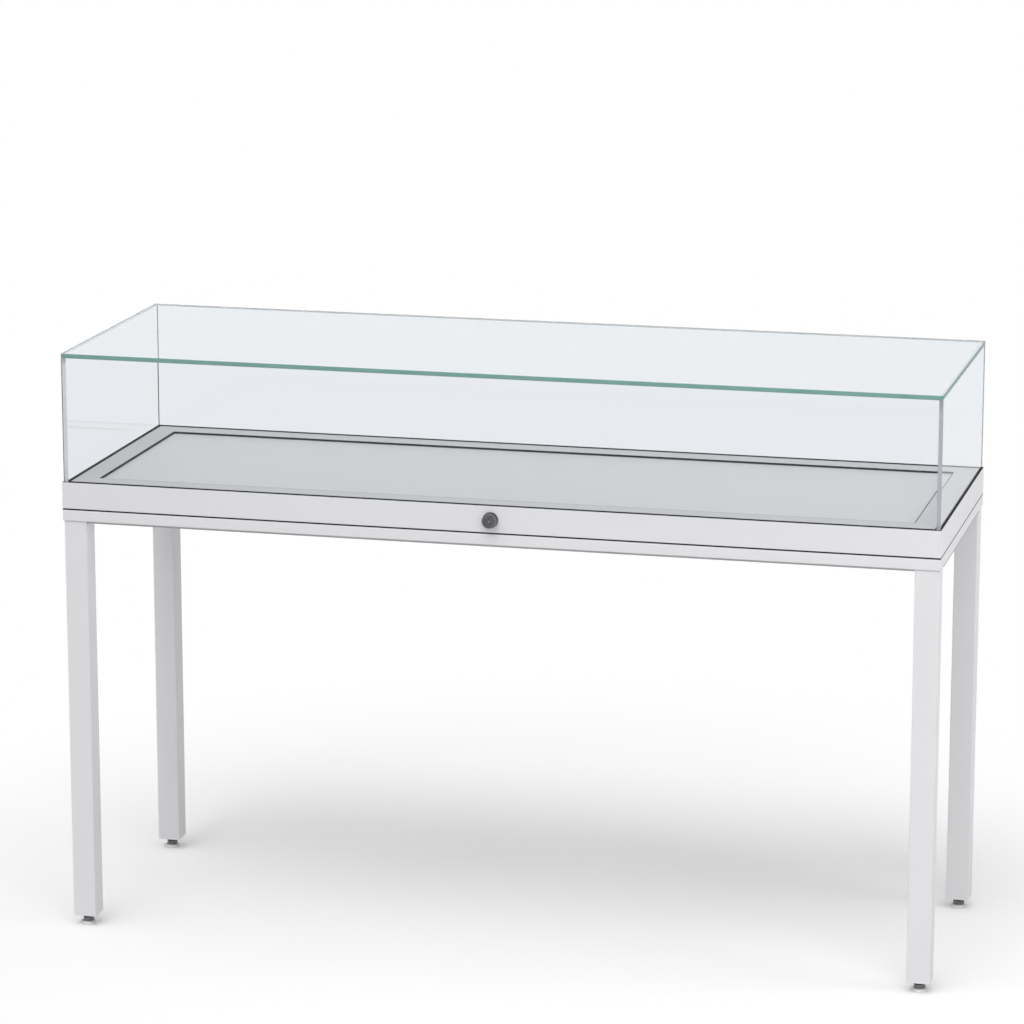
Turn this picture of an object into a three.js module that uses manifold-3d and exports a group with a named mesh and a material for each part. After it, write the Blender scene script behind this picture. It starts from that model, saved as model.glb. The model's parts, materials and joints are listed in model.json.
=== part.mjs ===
// A table display case: a glass hood, hinged along its rear edge and locked at the front,
// on a steel table with four legs and levelling feet.
// Millimetres. +X is to the right, +Y to the rear and +Z up. The origin is on the floor, under
// the middle of the whole object's box.
import * as THREE from "three";
import { mergeVertices } from "three/addons/utils/BufferGeometryUtils.js";
import Module from "manifold-3d";

const wasm = await Module();
wasm.setup();

// ---- Driving dimensions ----

// The case in plan, without the lock and the hinges.
const CASE_WIDTH = 1500;
const CASE_DEPTH = 500;

// Clearances.
const SEAT = 0.25; // between pieces that are welded, bonded or screwed together
const RUBBER_SEAT = 0.05; // between gasket rubber and what squeezes it
const RUNNING = 0.25; // radial, between a pin and the hole it turns in

// Legs: square tube, closed at the top by a plate that takes the leg bolt.
const LEG_LENGTH = 702.75;
const LEG_SIDE = 40;
const LEG_WALL = 2;
const LEG_INSET = 2; // from the face of the table frame to the face of the leg
const LEG_PLATE = 5;
const TUBE_EDGE = 2; // outer radius of the tubes' long edges

// Table frame: a ring of mitred tubes with two cross rails.
const RAIL_WIDTH = 40;
const RAIL_HEIGHT = 20;
const RAIL_WALL = 2;
const CROSS_RAIL_INSET = 510; // from the end of the case to the middle of the cross rail

// Leg bolts.
const BOLT_RADIUS = 5;
const BOLT_HEAD_FLATS = 17;
const BOLT_HEAD_HEIGHT = 6.5;
const BOLT_REACH = 12; // below the top of the leg
const BOLT_ACCESS_RADIUS = 12;

// Levelling feet.
const FOOT_HEIGHT = 18.5; // from the floor to the end of the leg
const PAD_RADIUS = 14;
const PAD_CROWN_RADIUS = 11;
const PAD_HEIGHT = 5.5;
const PAD_RIM = 3.5;
const PAD_FLOOR = 2;
const NECK_RADIUS = 4;
const STUD_RADIUS = 5;
const STUD_REACH = 24; // above the end of the leg
const FOOT_HEX_FLATS = 17;
const FOOT_HEX_HEIGHT = 7;
const FOOT_GROOVE = 0.75;
const FOOT_GROOVE_RADIUS = 7.5;
const INSERT_HEIGHT = 25;

// Hood frame: folded sheet with the glass standing in a channel behind its outer wall.
const SEAM = 2; // open joint between table frame and hood frame
const SHEET = 1.5;
const HOOD_FRAME_HEIGHT = 45;
const FLANGE_WIDTH = 15;
const BORDER = 50; // from the face of the case to the edge of the display panel
const GASKET_LIP = 1; // on each side of the glass
const GASKET_BASE = 1.5;
const GASKET_PROUD = 0.5; // above the hood frame

// Glass.
const GLASS = 6.75;
const GLASS_BITE = 9; // depth of glass below the top of the hood frame
const GLASS_ABOVE = 221.5; // height of glass above the hood frame

// Deck inside the hood.
const DECK_LAP = 12; // how far the deck runs on under the ledge
const DECK_FOOT_WIDTH = 15;
const PANEL_THICKNESS = 10;
const LEDGE_GAP = 2.25; // from the display panel up to the ledge
const SEAL_WIDTH = 9;
const SEAL_RECESS = 1;
const FRAME_SEAL_WIDTH = 11;
const FRAME_SEAL_RECESS = 2;

// Lock, in the middle of the hood frame's front.
const LOCK_RISE = 21.5; // above the bottom of the hood frame
const LOCK_FLANGE_RADIUS = 13.5;
const LOCK_FLANGE = 2;
const LOCK_HEAD_RADIUS = 12;
const LOCK_FACE_RADIUS = 11;
const LOCK_HEAD = 12;
const LOCK_HEAD_CHAMFER = 1;
const LOCK_FACE_RECESS = 1;
const LOCK_FACE_WALL = 2;
const LOCK_THREAD_RADIUS = 9;
const LOCK_THREAD = 23; // behind the outer face of the case
const LOCK_NUT_FLATS = 20;
const LOCK_NUT = 4;
const PLUG_RADIUS = 6;
const PLUG_END_GAP = 0.5; // between the back of the lock body and the cam
const KEYWAY_LENGTH = 7;
const KEYWAY_WIDTH = 1.5;
const KEYWAY_DEPTH = 4;
const TANG_SIDE = 7;
const CAM_THICKNESS = 2.5;
const CAM_REACH = 21;
const CAM_HALF_WIDTH = 5.5;
const CAM_SCREW_RADIUS = 1.75;
const CAM_SCREW_LENGTH = 7;
const CAM_SCREW_HEAD_RADIUS = 4.5;
const CAM_SCREW_HEAD = 2.5;

// Strike on the table frame, which the turned cam reaches under.
const STRIKE_START = 12; // from the lock's axis to the near edge of the strike
const STRIKE_WIDTH = 20;
const STRIKE_SHEET = 2;
const STRIKE_CATCH_GAP = 1; // between the turned cam and the lip above it
const STRIKE_FRONT = 24; // from the face of the case to the front edge of the lip
const STRIKE_UPRIGHT = 34; // from the face of the case to the front of the upright
const STRIKE_FOOT = 14;

// Hinges on the rear of the case.
const HINGE_INSET = 270; // from the end of the case to the middle of the hinge
const HINGE_LENGTH = 100;
const HINGE_LEAF = 2.5;
const HINGE_UPPER_HEIGHT = 36;
const HINGE_LOWER_HEIGHT = 18;
const HINGE_KNUCKLE_RADIUS = 4.75;
const HINGE_PIN_RADIUS = 2.5;
const HINGE_END_KNUCKLE = 30;
const HINGE_PLAY = 0.5; // between knuckles, along the pin

// Gas springs, one on each side between the deck and the hood frame.
const SPRING_INSET = 26.5; // from the face of the case to the spring's axis
const SPRING_SETBACK = 100; // from the front of the case to the spring's pivot on the table
const SPRING_TABLE_RISE = 10.5; // from the top of the table frame up to that pivot
const SPRING_HOOD_RISE = 28.5; // from the top of the table frame up to the pivot on the hood
const SPRING_SHUT_ROD = 32.65; // from the end of the tube to the rod's eye while the hood is shut
const SPRING_TUBE_RADIUS = 9;
const SPRING_TUBE_WALL = 2;
const SPRING_TUBE_LENGTH = 200;
const SPRING_ROD_RADIUS = 4;
const SPRING_GLAND = 8;
const SPRING_PISTON = 8;
const SPRING_EYE_RADIUS = 7;
const SPRING_EYE_THICKNESS = 6;
const SPRING_NECK = 18; // from the eye to the tube
const SPRING_PIN_RADIUS = 4;
const BRACKET_SHEET = 2.5;
const BRACKET_GAP = 2.5; // between an eye and its bracket
const BRACKET_HALF_LENGTH = 12;
const BRACKET_EDGE = 9; // from a pin's axis to the end of its bracket
const OPEN_PIVOT_GAP = 0.75; // the hood's pins stop this short of the rods' eyes

// Number of sides of round pieces.
const SIDES = 32;
const SMALL_SIDES = 16;
const EDGE_STEPS = 3;

// ---- Levels, upwards from the floor ----

const legBottom = FOOT_HEIGHT;
const legTop = legBottom + LEG_LENGTH;
const railBottom = legTop + SEAT;
const railTop = railBottom + RAIL_HEIGHT;
const hoodBottom = railTop + SEAM;
const hoodTop = hoodBottom + HOOD_FRAME_HEIGHT;
const glassBottom = hoodTop - GLASS_BITE;
const glassTop = hoodTop + GLASS_ABOVE;
const shelfTop = glassBottom - GASKET_BASE;
const ledgeUnder = hoodTop - SHEET;
const panelTop = ledgeUnder - LEDGE_GAP;
const trayTop = panelTop - PANEL_THICKNESS - SEAT;
const trayBottom = railTop + SEAT;
const lockHeight = hoodBottom + LOCK_RISE;

// ---- Insets, inwards from the outer face of the case ----

const glassInset = SHEET + GASKET_LIP;
const glassInner = glassInset + GLASS;
const ledgeInset = glassInner + GASKET_LIP;
const deckInset = BORDER - DECK_LAP;
const legAxisInset = LEG_INSET + LEG_SIDE / 2;

// ---- How far the lock and the hinges stand out of the case ----

const lockReach = SEAT + LOCK_FLANGE + LOCK_HEAD;
const hingeReach = SEAT + 2 * HINGE_KNUCKLE_RADIUS;

// ---- Materials ----

function finish(color, metalness, roughness) {
  return new THREE.MeshStandardMaterial({ color, metalness, roughness });
}

const whiteEnamel = finish(0xe9e9ec, 0, 0.45);
const laminate = finish(0xd6d7da, 0, 0.6);
const zincSteel = finish(0xb4b6b8, 1, 0.35);
const darkNickel = finish(0x5a5b5e, 1, 0.3);
const blackRubber = finish(0x17181a, 0, 0.8);
const greyNylon = finish(0xc9cac8, 0, 0.5);
const springPaint = finish(0x1e1f21, 0, 0.4);
const polishedRod = finish(0xd0d2d4, 1, 0.12);
const clearGlass = new THREE.MeshStandardMaterial({
  color: 0xd7ebe6,
  metalness: 0,
  roughness: 0.03,
  transparent: true,
  opacity: 0.3,
});

// ---- Shapes and booleans ----

// A closed geometry as a solid that can be cut and joined.
function solidOf(geometry) {
  const bare = geometry.clone();
  bare.deleteAttribute("normal");
  bare.deleteAttribute("uv");
  const merged = mergeVertices(bare);
  return new wasm.Manifold(
    new wasm.Mesh({
      numProp: 3,
      vertProperties: new Float32Array(merged.getAttribute("position").array),
      triVerts: new Uint32Array(merged.getIndex().array),
    }),
  );
}

// A solid as a geometry with flat faces.
function geometryOf(solid) {
  const mesh = solid.getMesh();
  const indexed = new THREE.BufferGeometry();
  indexed.setAttribute("position", new THREE.BufferAttribute(mesh.vertProperties, 3));
  indexed.setIndex(new THREE.BufferAttribute(mesh.triVerts, 1));
  const flat = indexed.toNonIndexed();
  flat.computeVertexNormals();
  return flat;
}

function joined(...geometries) {
  const [first, ...others] = geometries.map(solidOf);
  return geometryOf(others.reduce((sum, solid) => sum.add(solid), first));
}

function cut(body, ...tools) {
  return geometryOf(tools.map(solidOf).reduce((rest, tool) => rest.subtract(tool), solidOf(body)));
}

function kept(body, keeper) {
  return geometryOf(solidOf(body).intersect(solidOf(keeper)));
}

// A box between two corners.
function block(low, high) {
  const size = high.map((value, axis) => value - low[axis]);
  const middle = high.map((value, axis) => (value + low[axis]) / 2);
  return new THREE.BoxGeometry(...size).translate(...middle);
}

// A slab that covers the case in plan, as far out as the given inset, between two levels.
function slab(inset, bottom, top) {
  const x = CASE_WIDTH / 2 - inset;
  const y = CASE_DEPTH / 2 - inset;
  return block([-x, -y, bottom], [x, y, top]);
}

// A rectangular ring all round the case, between two insets and two levels.
function ring(outerInset, innerInset, bottom, top) {
  return cut(slab(outerInset, bottom, top), slab(innerInset, bottom - 1, top + 1));
}

// A round bar along Y between two places.
function barY(radius, start, end, sides = SIDES) {
  const length = end - start;
  return new THREE.CylinderGeometry(radius, radius, length, sides).translate(0, start + length / 2, 0);
}

// A round bar along X between two places.
function barX(radius, start, end, sides = SIDES) {
  return barY(radius, start, end, sides).rotateZ(-Math.PI / 2);
}

// A round bar along Z between two levels.
function barZ(radius, bottom, top, sides = SIDES) {
  return barY(radius, bottom, top, sides).rotateX(Math.PI / 2);
}

// A hexagonal bar along Y, given its size across flats, with one flat square to Z.
function hexY(flats, start, end) {
  const corner = flats / 2 / Math.cos(Math.PI / 6);
  return barY(corner, start, end, 6).rotateY(Math.PI / 6);
}

// A turned piece about Y from a closed list of radius and height.
function turned(profile) {
  const points = profile.map(([radius, height]) => new THREE.Vector2(radius, height));
  return new THREE.LatheGeometry(points, SIDES);
}

// A rectangle with rounded corners, centred on the origin.
function roundedRectangle(width, height, radius) {
  const x = width / 2 - radius;
  const y = height / 2 - radius;
  const shape = new THREE.Shape();
  shape.absarc(x, y, radius, 0, Math.PI / 2);
  shape.absarc(-x, y, radius, Math.PI / 2, Math.PI);
  shape.absarc(-x, -y, radius, Math.PI, 1.5 * Math.PI);
  shape.absarc(x, -y, radius, 1.5 * Math.PI, 2 * Math.PI);
  return shape;
}

function extruded(shape, depth) {
  return new THREE.ExtrudeGeometry(shape, {
    depth,
    bevelEnabled: false,
    curveSegments: EDGE_STEPS,
  });
}

// A flat outline in plan as a prism between two levels.
function prism(outline, bottom, top) {
  const shape = new THREE.Shape(outline.map(([x, y]) => new THREE.Vector2(x, y)));
  return extruded(shape, top - bottom).translate(0, 0, bottom);
}

// A rectangular tube along X, centred on the origin in Y and Z.
function tubeX(length, width, height, wall) {
  const outer = extruded(roundedRectangle(height, width, TUBE_EDGE), length)
    .rotateY(Math.PI / 2)
    .translate(-length / 2, 0, 0);
  const bore = block(
    [-length, -width / 2 + wall, -height / 2 + wall],
    [length, width / 2 - wall, height / 2 - wall],
  );
  return cut(outer, bore);
}

// ---- Assembly ----

const assembly = new THREE.Group();
const table = new THREE.Group();
const hood = new THREE.Group();
assembly.add(table, hood);
assembly.position.y = (lockReach - hingeReach) / 2;

function piece(parent, name, geometry, material) {
  const mesh = new THREE.Mesh(geometry, material);
  mesh.name = name;
  parent.add(mesh);
  return mesh;
}

const CORNERS = [
  { name: "front_left", x: -1, y: -1 },
  { name: "front_right", x: 1, y: -1 },
  { name: "rear_left", x: -1, y: 1 },
  { name: "rear_right", x: 1, y: 1 },
];
const HANDS = [
  { name: "left", x: -1 },
  { name: "right", x: 1 },
];

// ---- Legs and feet ----

function legGeometry() {
  const tube = extruded(roundedRectangle(LEG_SIDE, LEG_SIDE, TUBE_EDGE), LEG_LENGTH);
  const half = LEG_SIDE / 2 - LEG_WALL;
  const bore = block([-half, -half, -1], [half, half, LEG_LENGTH - LEG_PLATE]);
  const boltHole = barZ(BOLT_RADIUS + RUNNING, LEG_LENGTH - 2 * LEG_PLATE, LEG_LENGTH + 1);
  return cut(tube, bore, boltHole).translate(0, 0, legBottom);
}

function insertGeometry() {
  const half = LEG_SIDE / 2 - LEG_WALL - SEAT;
  const plug = block([-half, -half, legBottom], [half, half, legBottom + INSERT_HEIGHT]);
  const thread = barZ(STUD_RADIUS + RUNNING, legBottom - 1, legBottom + INSERT_HEIGHT + 1);
  return cut(plug, thread);
}

function padGeometry() {
  const socketRadius = NECK_RADIUS + RUNNING;
  return turned([
    [0, 0],
    [PAD_RADIUS, 0],
    [PAD_RADIUS, PAD_RIM],
    [PAD_CROWN_RADIUS, PAD_HEIGHT],
    [socketRadius, PAD_HEIGHT],
    [socketRadius, PAD_FLOOR],
    [0, PAD_FLOOR],
  ]).rotateX(Math.PI / 2);
}

// The stud with its hexagon and, above a groove, its lock nut.
function studGeometry() {
  const hexBottom = PAD_HEIGHT + SEAT;
  const hexTop = hexBottom + FOOT_HEX_HEIGHT;
  const nutBottom = hexTop + FOOT_GROOVE;
  const nutTop = legBottom - SEAT;
  const hex = hexY(FOOT_HEX_FLATS, hexBottom, hexTop).rotateX(Math.PI / 2);
  const nut = hexY(FOOT_HEX_FLATS, nutBottom, nutTop).rotateX(Math.PI / 2);
  return joined(
    barZ(NECK_RADIUS, PAD_FLOOR + SEAT, hexTop),
    hex,
    barZ(FOOT_GROOVE_RADIUS, hexBottom, nutTop),
    nut,
    barZ(STUD_RADIUS, hexBottom, legBottom + STUD_REACH),
  );
}

function boltGeometry() {
  const headBottom = railBottom + RAIL_WALL + SEAT;
  const head = hexY(BOLT_HEAD_FLATS, headBottom, headBottom + BOLT_HEAD_HEIGHT).rotateX(Math.PI / 2);
  return joined(head, barZ(BOLT_RADIUS, legTop - BOLT_REACH, headBottom + 1));
}

for (const corner of CORNERS) {
  const leg = new THREE.Group();
  leg.position.x = corner.x * (CASE_WIDTH / 2 - legAxisInset);
  leg.position.y = corner.y * (CASE_DEPTH / 2 - legAxisInset);
  table.add(leg);
  piece(leg, `leg_${corner.name}`, legGeometry(), whiteEnamel);
  piece(leg, `leg_bolt_${corner.name}`, boltGeometry(), zincSteel);
  piece(leg, `foot_insert_${corner.name}`, insertGeometry(), blackRubber);
  piece(leg, `foot_stud_${corner.name}`, studGeometry(), zincSteel);
  piece(leg, `foot_pad_${corner.name}`, padGeometry(), greyNylon);
}

// ---- Table frame ----

// One side of the frame along X, its outer face towards -Y, with its ends mitred.
function mitredRail(length) {
  const half = length / 2 - SEAT;
  const outer = -RAIL_WIDTH / 2;
  const footprint = prism(
    [
      [-half, outer],
      [half, outer],
      [half - RAIL_WIDTH, -outer],
      [RAIL_WIDTH - half, -outer],
    ],
    -RAIL_HEIGHT,
    RAIL_HEIGHT,
  );
  const tools = [-1, 1].flatMap((end) => {
    const x = end * (length / 2 - legAxisInset);
    const y = outer + legAxisInset;
    return [
      barZ(BOLT_RADIUS + RUNNING, -RAIL_HEIGHT, 0).translate(x, y, 0),
      barZ(BOLT_ACCESS_RADIUS, 0, RAIL_HEIGHT).translate(x, y, 0),
    ];
  });
  return cut(kept(tubeX(length, RAIL_WIDTH, RAIL_HEIGHT, RAIL_WALL), footprint), ...tools);
}

const RAILS = [
  { name: "front_rail", turn: 0, length: CASE_WIDTH, reach: CASE_DEPTH },
  { name: "right_rail", turn: Math.PI / 2, length: CASE_DEPTH, reach: CASE_WIDTH },
  { name: "rear_rail", turn: Math.PI, length: CASE_WIDTH, reach: CASE_DEPTH },
  { name: "left_rail", turn: -Math.PI / 2, length: CASE_DEPTH, reach: CASE_WIDTH },
];

for (const rail of RAILS) {
  const geometry = mitredRail(rail.length).translate(0, -(rail.reach - RAIL_WIDTH) / 2, 0);
  const mesh = piece(table, rail.name, geometry, whiteEnamel);
  mesh.position.z = railBottom + RAIL_HEIGHT / 2;
  mesh.rotation.z = rail.turn;
}

for (const hand of HANDS) {
  const length = CASE_DEPTH - 2 * (RAIL_WIDTH + SEAT);
  const geometry = tubeX(length, RAIL_WIDTH, RAIL_HEIGHT, RAIL_WALL).rotateZ(Math.PI / 2);
  const mesh = piece(table, `cross_rail_${hand.name}`, geometry, whiteEnamel);
  mesh.position.x = hand.x * (CASE_WIDTH / 2 - CROSS_RAIL_INSET);
  mesh.position.z = railBottom + RAIL_HEIGHT / 2;
}

// ---- Deck and seals ----

function deckTrayGeometry() {
  return joined(
    slab(deckInset, trayTop - SHEET, trayTop),
    ring(deckInset, deckInset + SHEET, trayBottom, trayTop),
    ring(deckInset, deckInset + DECK_FOOT_WIDTH, trayBottom, trayBottom + SHEET),
  );
}

piece(table, "deck_tray", deckTrayGeometry(), whiteEnamel);
piece(table, "display_panel", slab(deckInset, trayTop + SEAT, panelTop), laminate);

const deckSealInner = BORDER - SEAL_RECESS;
piece(
  table,
  "deck_seal",
  ring(deckSealInner - SEAL_WIDTH, deckSealInner, panelTop + RUBBER_SEAT, ledgeUnder - SEAT),
  blackRubber,
);
piece(
  table,
  "frame_seal",
  ring(
    FRAME_SEAL_RECESS,
    FRAME_SEAL_RECESS + FRAME_SEAL_WIDTH,
    railTop + RUBBER_SEAT,
    hoodBottom - SEAT,
  ),
  blackRubber,
);

// ---- Hood frame, ledge and glazing ----

function hoodFrameGeometry() {
  const lockHole = barY(LOCK_THREAD_RADIUS + SEAT, -CASE_DEPTH / 2 - 1, glassInner - CASE_DEPTH / 2);
  return cut(
    joined(
      ring(0, SHEET, hoodBottom, hoodTop),
      ring(0, FLANGE_WIDTH, hoodBottom, hoodBottom + SHEET),
      ring(0, ledgeInset + SHEET, shelfTop - SHEET, shelfTop),
    ),
    lockHole.translate(0, 0, lockHeight),
  );
}

function hoodLedgeGeometry() {
  return joined(
    ring(ledgeInset, ledgeInset + SHEET, shelfTop + SEAT, hoodTop),
    ring(ledgeInset, BORDER, ledgeUnder, hoodTop),
  );
}

function glazingGasketGeometry() {
  const top = hoodTop + GASKET_PROUD;
  return cut(
    ring(SHEET + RUBBER_SEAT, ledgeInset - RUBBER_SEAT, shelfTop + RUBBER_SEAT, top),
    ring(glassInset - RUBBER_SEAT, glassInner + RUBBER_SEAT, glassBottom - RUBBER_SEAT, top + 1),
  );
}

piece(hood, "hood_frame", hoodFrameGeometry(), whiteEnamel);
piece(hood, "hood_ledge", hoodLedgeGeometry(), whiteEnamel);
piece(hood, "glazing_gasket", glazingGasketGeometry(), blackRubber);

const glassHalfWidth = CASE_WIDTH / 2 - glassInset;
const glassHalfDepth = CASE_DEPTH / 2 - glassInset;
const wallTop = glassTop - GLASS - SEAT;

piece(
  hood,
  "glass_top",
  block([-glassHalfWidth, -glassHalfDepth, glassTop - GLASS], [glassHalfWidth, glassHalfDepth, glassTop]),
  clearGlass,
);
for (const [name, side] of [
  ["glass_front", -1],
  ["glass_rear", 1],
]) {
  const pane = block([-glassHalfWidth, -GLASS / 2, glassBottom], [glassHalfWidth, GLASS / 2, wallTop]);
  piece(hood, name, pane, clearGlass).position.y = side * (glassHalfDepth - GLASS / 2);
}
for (const hand of HANDS) {
  const halfLength = glassHalfDepth - GLASS - SEAT;
  const pane = block([-GLASS / 2, -halfLength, glassBottom], [GLASS / 2, halfLength, wallTop]);
  piece(hood, `glass_${hand.name}`, pane, clearGlass).position.x = hand.x * (glassHalfWidth - GLASS / 2);
}

// ---- Lock: built with the case's outer face at y = 0 and the lock's axis along Y ----

const lock = new THREE.Group();
lock.position.set(0, -CASE_DEPTH / 2, lockHeight);
hood.add(lock);

const lockFace = -lockReach;
const plugEnd = LOCK_THREAD + PLUG_END_GAP;
const camEnd = plugEnd + CAM_THICKNESS;

function lockBodyGeometry() {
  const shell = turned([
    [0, lockFace],
    [LOCK_FACE_RADIUS, lockFace],
    [LOCK_HEAD_RADIUS, lockFace + LOCK_HEAD_CHAMFER],
    [LOCK_HEAD_RADIUS, -SEAT - LOCK_FLANGE],
    [LOCK_FLANGE_RADIUS, -SEAT - LOCK_FLANGE / 2],
    [LOCK_FLANGE_RADIUS, -SEAT],
    [LOCK_THREAD_RADIUS, -SEAT],
    [LOCK_THREAD_RADIUS, LOCK_THREAD],
    [0, LOCK_THREAD],
  ]);
  return cut(
    shell,
    barY(LOCK_FACE_RADIUS - LOCK_FACE_WALL, lockFace - 1, lockFace + LOCK_FACE_RECESS),
    barY(PLUG_RADIUS + RUNNING, lockFace - 1, LOCK_THREAD + 1),
  );
}

function lockPlugGeometry() {
  const face = lockFace + LOCK_FACE_RECESS / 2;
  const half = TANG_SIDE / 2;
  return cut(
    joined(
      barY(PLUG_RADIUS, face, plugEnd - SEAT),
      block([-half, 0, -half], [half, camEnd - SEAT, half]),
    ),
    block(
      [-KEYWAY_WIDTH / 2, face - 1, -KEYWAY_LENGTH / 2],
      [KEYWAY_WIDTH / 2, face + KEYWAY_DEPTH, KEYWAY_LENGTH / 2],
    ),
    barY(CAM_SCREW_RADIUS + SEAT, camEnd - CAM_SCREW_LENGTH - SEAT, camEnd + 1, SMALL_SIDES),
  );
}

function lockNutGeometry() {
  const start = SHEET + SEAT;
  const hole = barY(LOCK_THREAD_RADIUS + SEAT, 0, start + LOCK_NUT + 1);
  return cut(hexY(LOCK_NUT_FLATS, start, start + LOCK_NUT), hole);
}

// The cam hangs straight down while the lock is open.
function lockCamGeometry() {
  const tip = CAM_REACH - CAM_HALF_WIDTH;
  const hole = TANG_SIDE / 2 + SEAT;
  return cut(
    joined(
      barY(CAM_HALF_WIDTH + 1, plugEnd, camEnd),
      block([-CAM_HALF_WIDTH, plugEnd, -tip], [CAM_HALF_WIDTH, camEnd, 0]),
      barY(CAM_HALF_WIDTH, plugEnd, camEnd).translate(0, 0, -tip),
    ),
    block([-hole, 0, -hole], [hole, camEnd + 1, hole]),
  );
}

function camScrewGeometry() {
  return joined(
    barY(CAM_SCREW_RADIUS, camEnd - CAM_SCREW_LENGTH, camEnd + 1, SMALL_SIDES),
    barY(CAM_SCREW_HEAD_RADIUS, camEnd + SEAT, camEnd + SEAT + CAM_SCREW_HEAD, SMALL_SIDES),
  );
}

piece(lock, "lock_body", lockBodyGeometry(), darkNickel);
piece(lock, "lock_nut", lockNutGeometry(), zincSteel);
piece(lock, "lock_plug", lockPlugGeometry(), darkNickel);
piece(lock, "lock_cam", lockCamGeometry(), zincSteel);
piece(lock, "lock_cam_screw", camScrewGeometry(), zincSteel);

// ---- Strike: a foot on the front rail, an upright and a lip towards the cam ----

function strikeGeometry() {
  const left = STRIKE_START;
  const right = STRIKE_START + STRIKE_WIDTH;
  const front = STRIKE_FRONT - CASE_DEPTH / 2;
  const upright = STRIKE_UPRIGHT - CASE_DEPTH / 2;
  const back = upright + STRIKE_SHEET;
  const foot = trayBottom;
  const lipBottom = lockHeight + CAM_HALF_WIDTH + STRIKE_CATCH_GAP;
  const lipTop = lipBottom + STRIKE_SHEET;
  return joined(
    block([left, back - STRIKE_FOOT, foot], [right, back, foot + STRIKE_SHEET]),
    block([left, upright, foot], [right, back, lipTop]),
    block([left, front, lipBottom], [right, back, lipTop]),
  );
}

piece(table, "strike", strikeGeometry(), zincSteel);

// ---- Hinges: built with the pin's axis as origin, along X ----

const hingeAxisY = CASE_DEPTH / 2 + SEAT + HINGE_KNUCKLE_RADIUS;
const hingeAxisZ = railTop + SEAM / 2;

// One leaf, upwards if side is 1 and downwards if it is -1, with its knuckles at the given spans.
function hingeLeaf(side, height, spans) {
  const back = -HINGE_KNUCKLE_RADIUS;
  const plate = (start, end, near) => {
    const far = HINGE_KNUCKLE_RADIUS + height;
    const [low, high] = side > 0 ? [near, far] : [-far, -near];
    return block([start, back, low], [end, back + HINGE_LEAF, high]);
  };
  const half = HINGE_LENGTH / 2;
  const clearOfKnuckles = HINGE_KNUCKLE_RADIUS + HINGE_PLAY;
  return cut(
    joined(
      plate(-half, half, clearOfKnuckles),
      ...spans.flatMap(([start, end]) => [
        plate(start, end, 0),
        barX(HINGE_KNUCKLE_RADIUS, start, end),
      ]),
    ),
    barX(HINGE_PIN_RADIUS + RUNNING, -HINGE_LENGTH, HINGE_LENGTH, SMALL_SIDES),
  );
}

for (const hand of HANDS) {
  const half = HINGE_LENGTH / 2;
  const middle = half - HINGE_END_KNUCKLE;
  const lowerSpans = [
    [-half, -middle - HINGE_PLAY / 2],
    [middle + HINGE_PLAY / 2, half],
  ];
  const upperSpans = [[HINGE_PLAY / 2 - middle, middle - HINGE_PLAY / 2]];
  const pieces = [
    [table, "hinge_lower_leaf", hingeLeaf(-1, HINGE_LOWER_HEIGHT - HINGE_KNUCKLE_RADIUS, lowerSpans)],
    [hood, "hinge_upper_leaf", hingeLeaf(1, HINGE_UPPER_HEIGHT - HINGE_KNUCKLE_RADIUS, upperSpans)],
    [table, "hinge_pin", barX(HINGE_PIN_RADIUS, -half, half, SMALL_SIDES)],
  ];
  for (const [parent, name, geometry] of pieces) {
    const mesh = piece(parent, `${name}_${hand.name}`, geometry, zincSteel);
    mesh.position.set(hand.x * (CASE_WIDTH / 2 - HINGE_INSET), hingeAxisY, hingeAxisZ);
  }
}

// ---- Gas springs ----

const tubeEnd = SPRING_NECK + SPRING_TUBE_LENGTH;
const springLength = tubeEnd + SPRING_SHUT_ROD;
const springTilt = Math.asin((SPRING_HOOD_RISE - SPRING_TABLE_RISE) / springLength);
const tablePivotY = SPRING_SETBACK - CASE_DEPTH / 2;
const hoodPivotY = tablePivotY + springLength * Math.cos(springTilt);
const tablePivotZ = railTop + SPRING_TABLE_RISE;
const hoodPivotZ = railTop + SPRING_HOOD_RISE;
const boreStart = SPRING_NECK + SPRING_TUBE_WALL;
const boreRadius = SPRING_TUBE_RADIUS - SPRING_TUBE_WALL;

// An eye about X at the given place along Y.
function springEye(y) {
  const half = SPRING_EYE_THICKNESS / 2;
  return barX(SPRING_EYE_RADIUS, -half, half, SMALL_SIDES).translate(0, y, 0);
}

function springEyeHole(y) {
  const reach = SPRING_EYE_THICKNESS;
  return barX(SPRING_PIN_RADIUS + RUNNING, -reach, reach, SMALL_SIDES).translate(0, y, 0);
}

function springTubeGeometry() {
  const half = SPRING_EYE_THICKNESS / 2;
  const neckHalf = SPRING_EYE_RADIUS - 1;
  return cut(
    joined(
      springEye(0),
      block([-half, 0, -neckHalf], [half, SPRING_NECK + 1, neckHalf]),
      barY(SPRING_TUBE_RADIUS, SPRING_NECK, tubeEnd),
    ),
    springEyeHole(0),
    barY(boreRadius, boreStart, tubeEnd - SPRING_GLAND, SMALL_SIDES),
    barY(SPRING_ROD_RADIUS + RUNNING, boreStart, tubeEnd + 1, SMALL_SIDES),
  );
}

function springRodGeometry() {
  const pistonStart = boreStart + 1;
  const pistonRadius = boreRadius - 2 * RUNNING;
  return cut(
    joined(
      barY(pistonRadius, pistonStart, pistonStart + SPRING_PISTON, SMALL_SIDES),
      barY(SPRING_ROD_RADIUS, pistonStart, springLength - SPRING_PIN_RADIUS, SMALL_SIDES),
      springEye(springLength),
    ),
    springEyeHole(springLength),
  );
}

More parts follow.
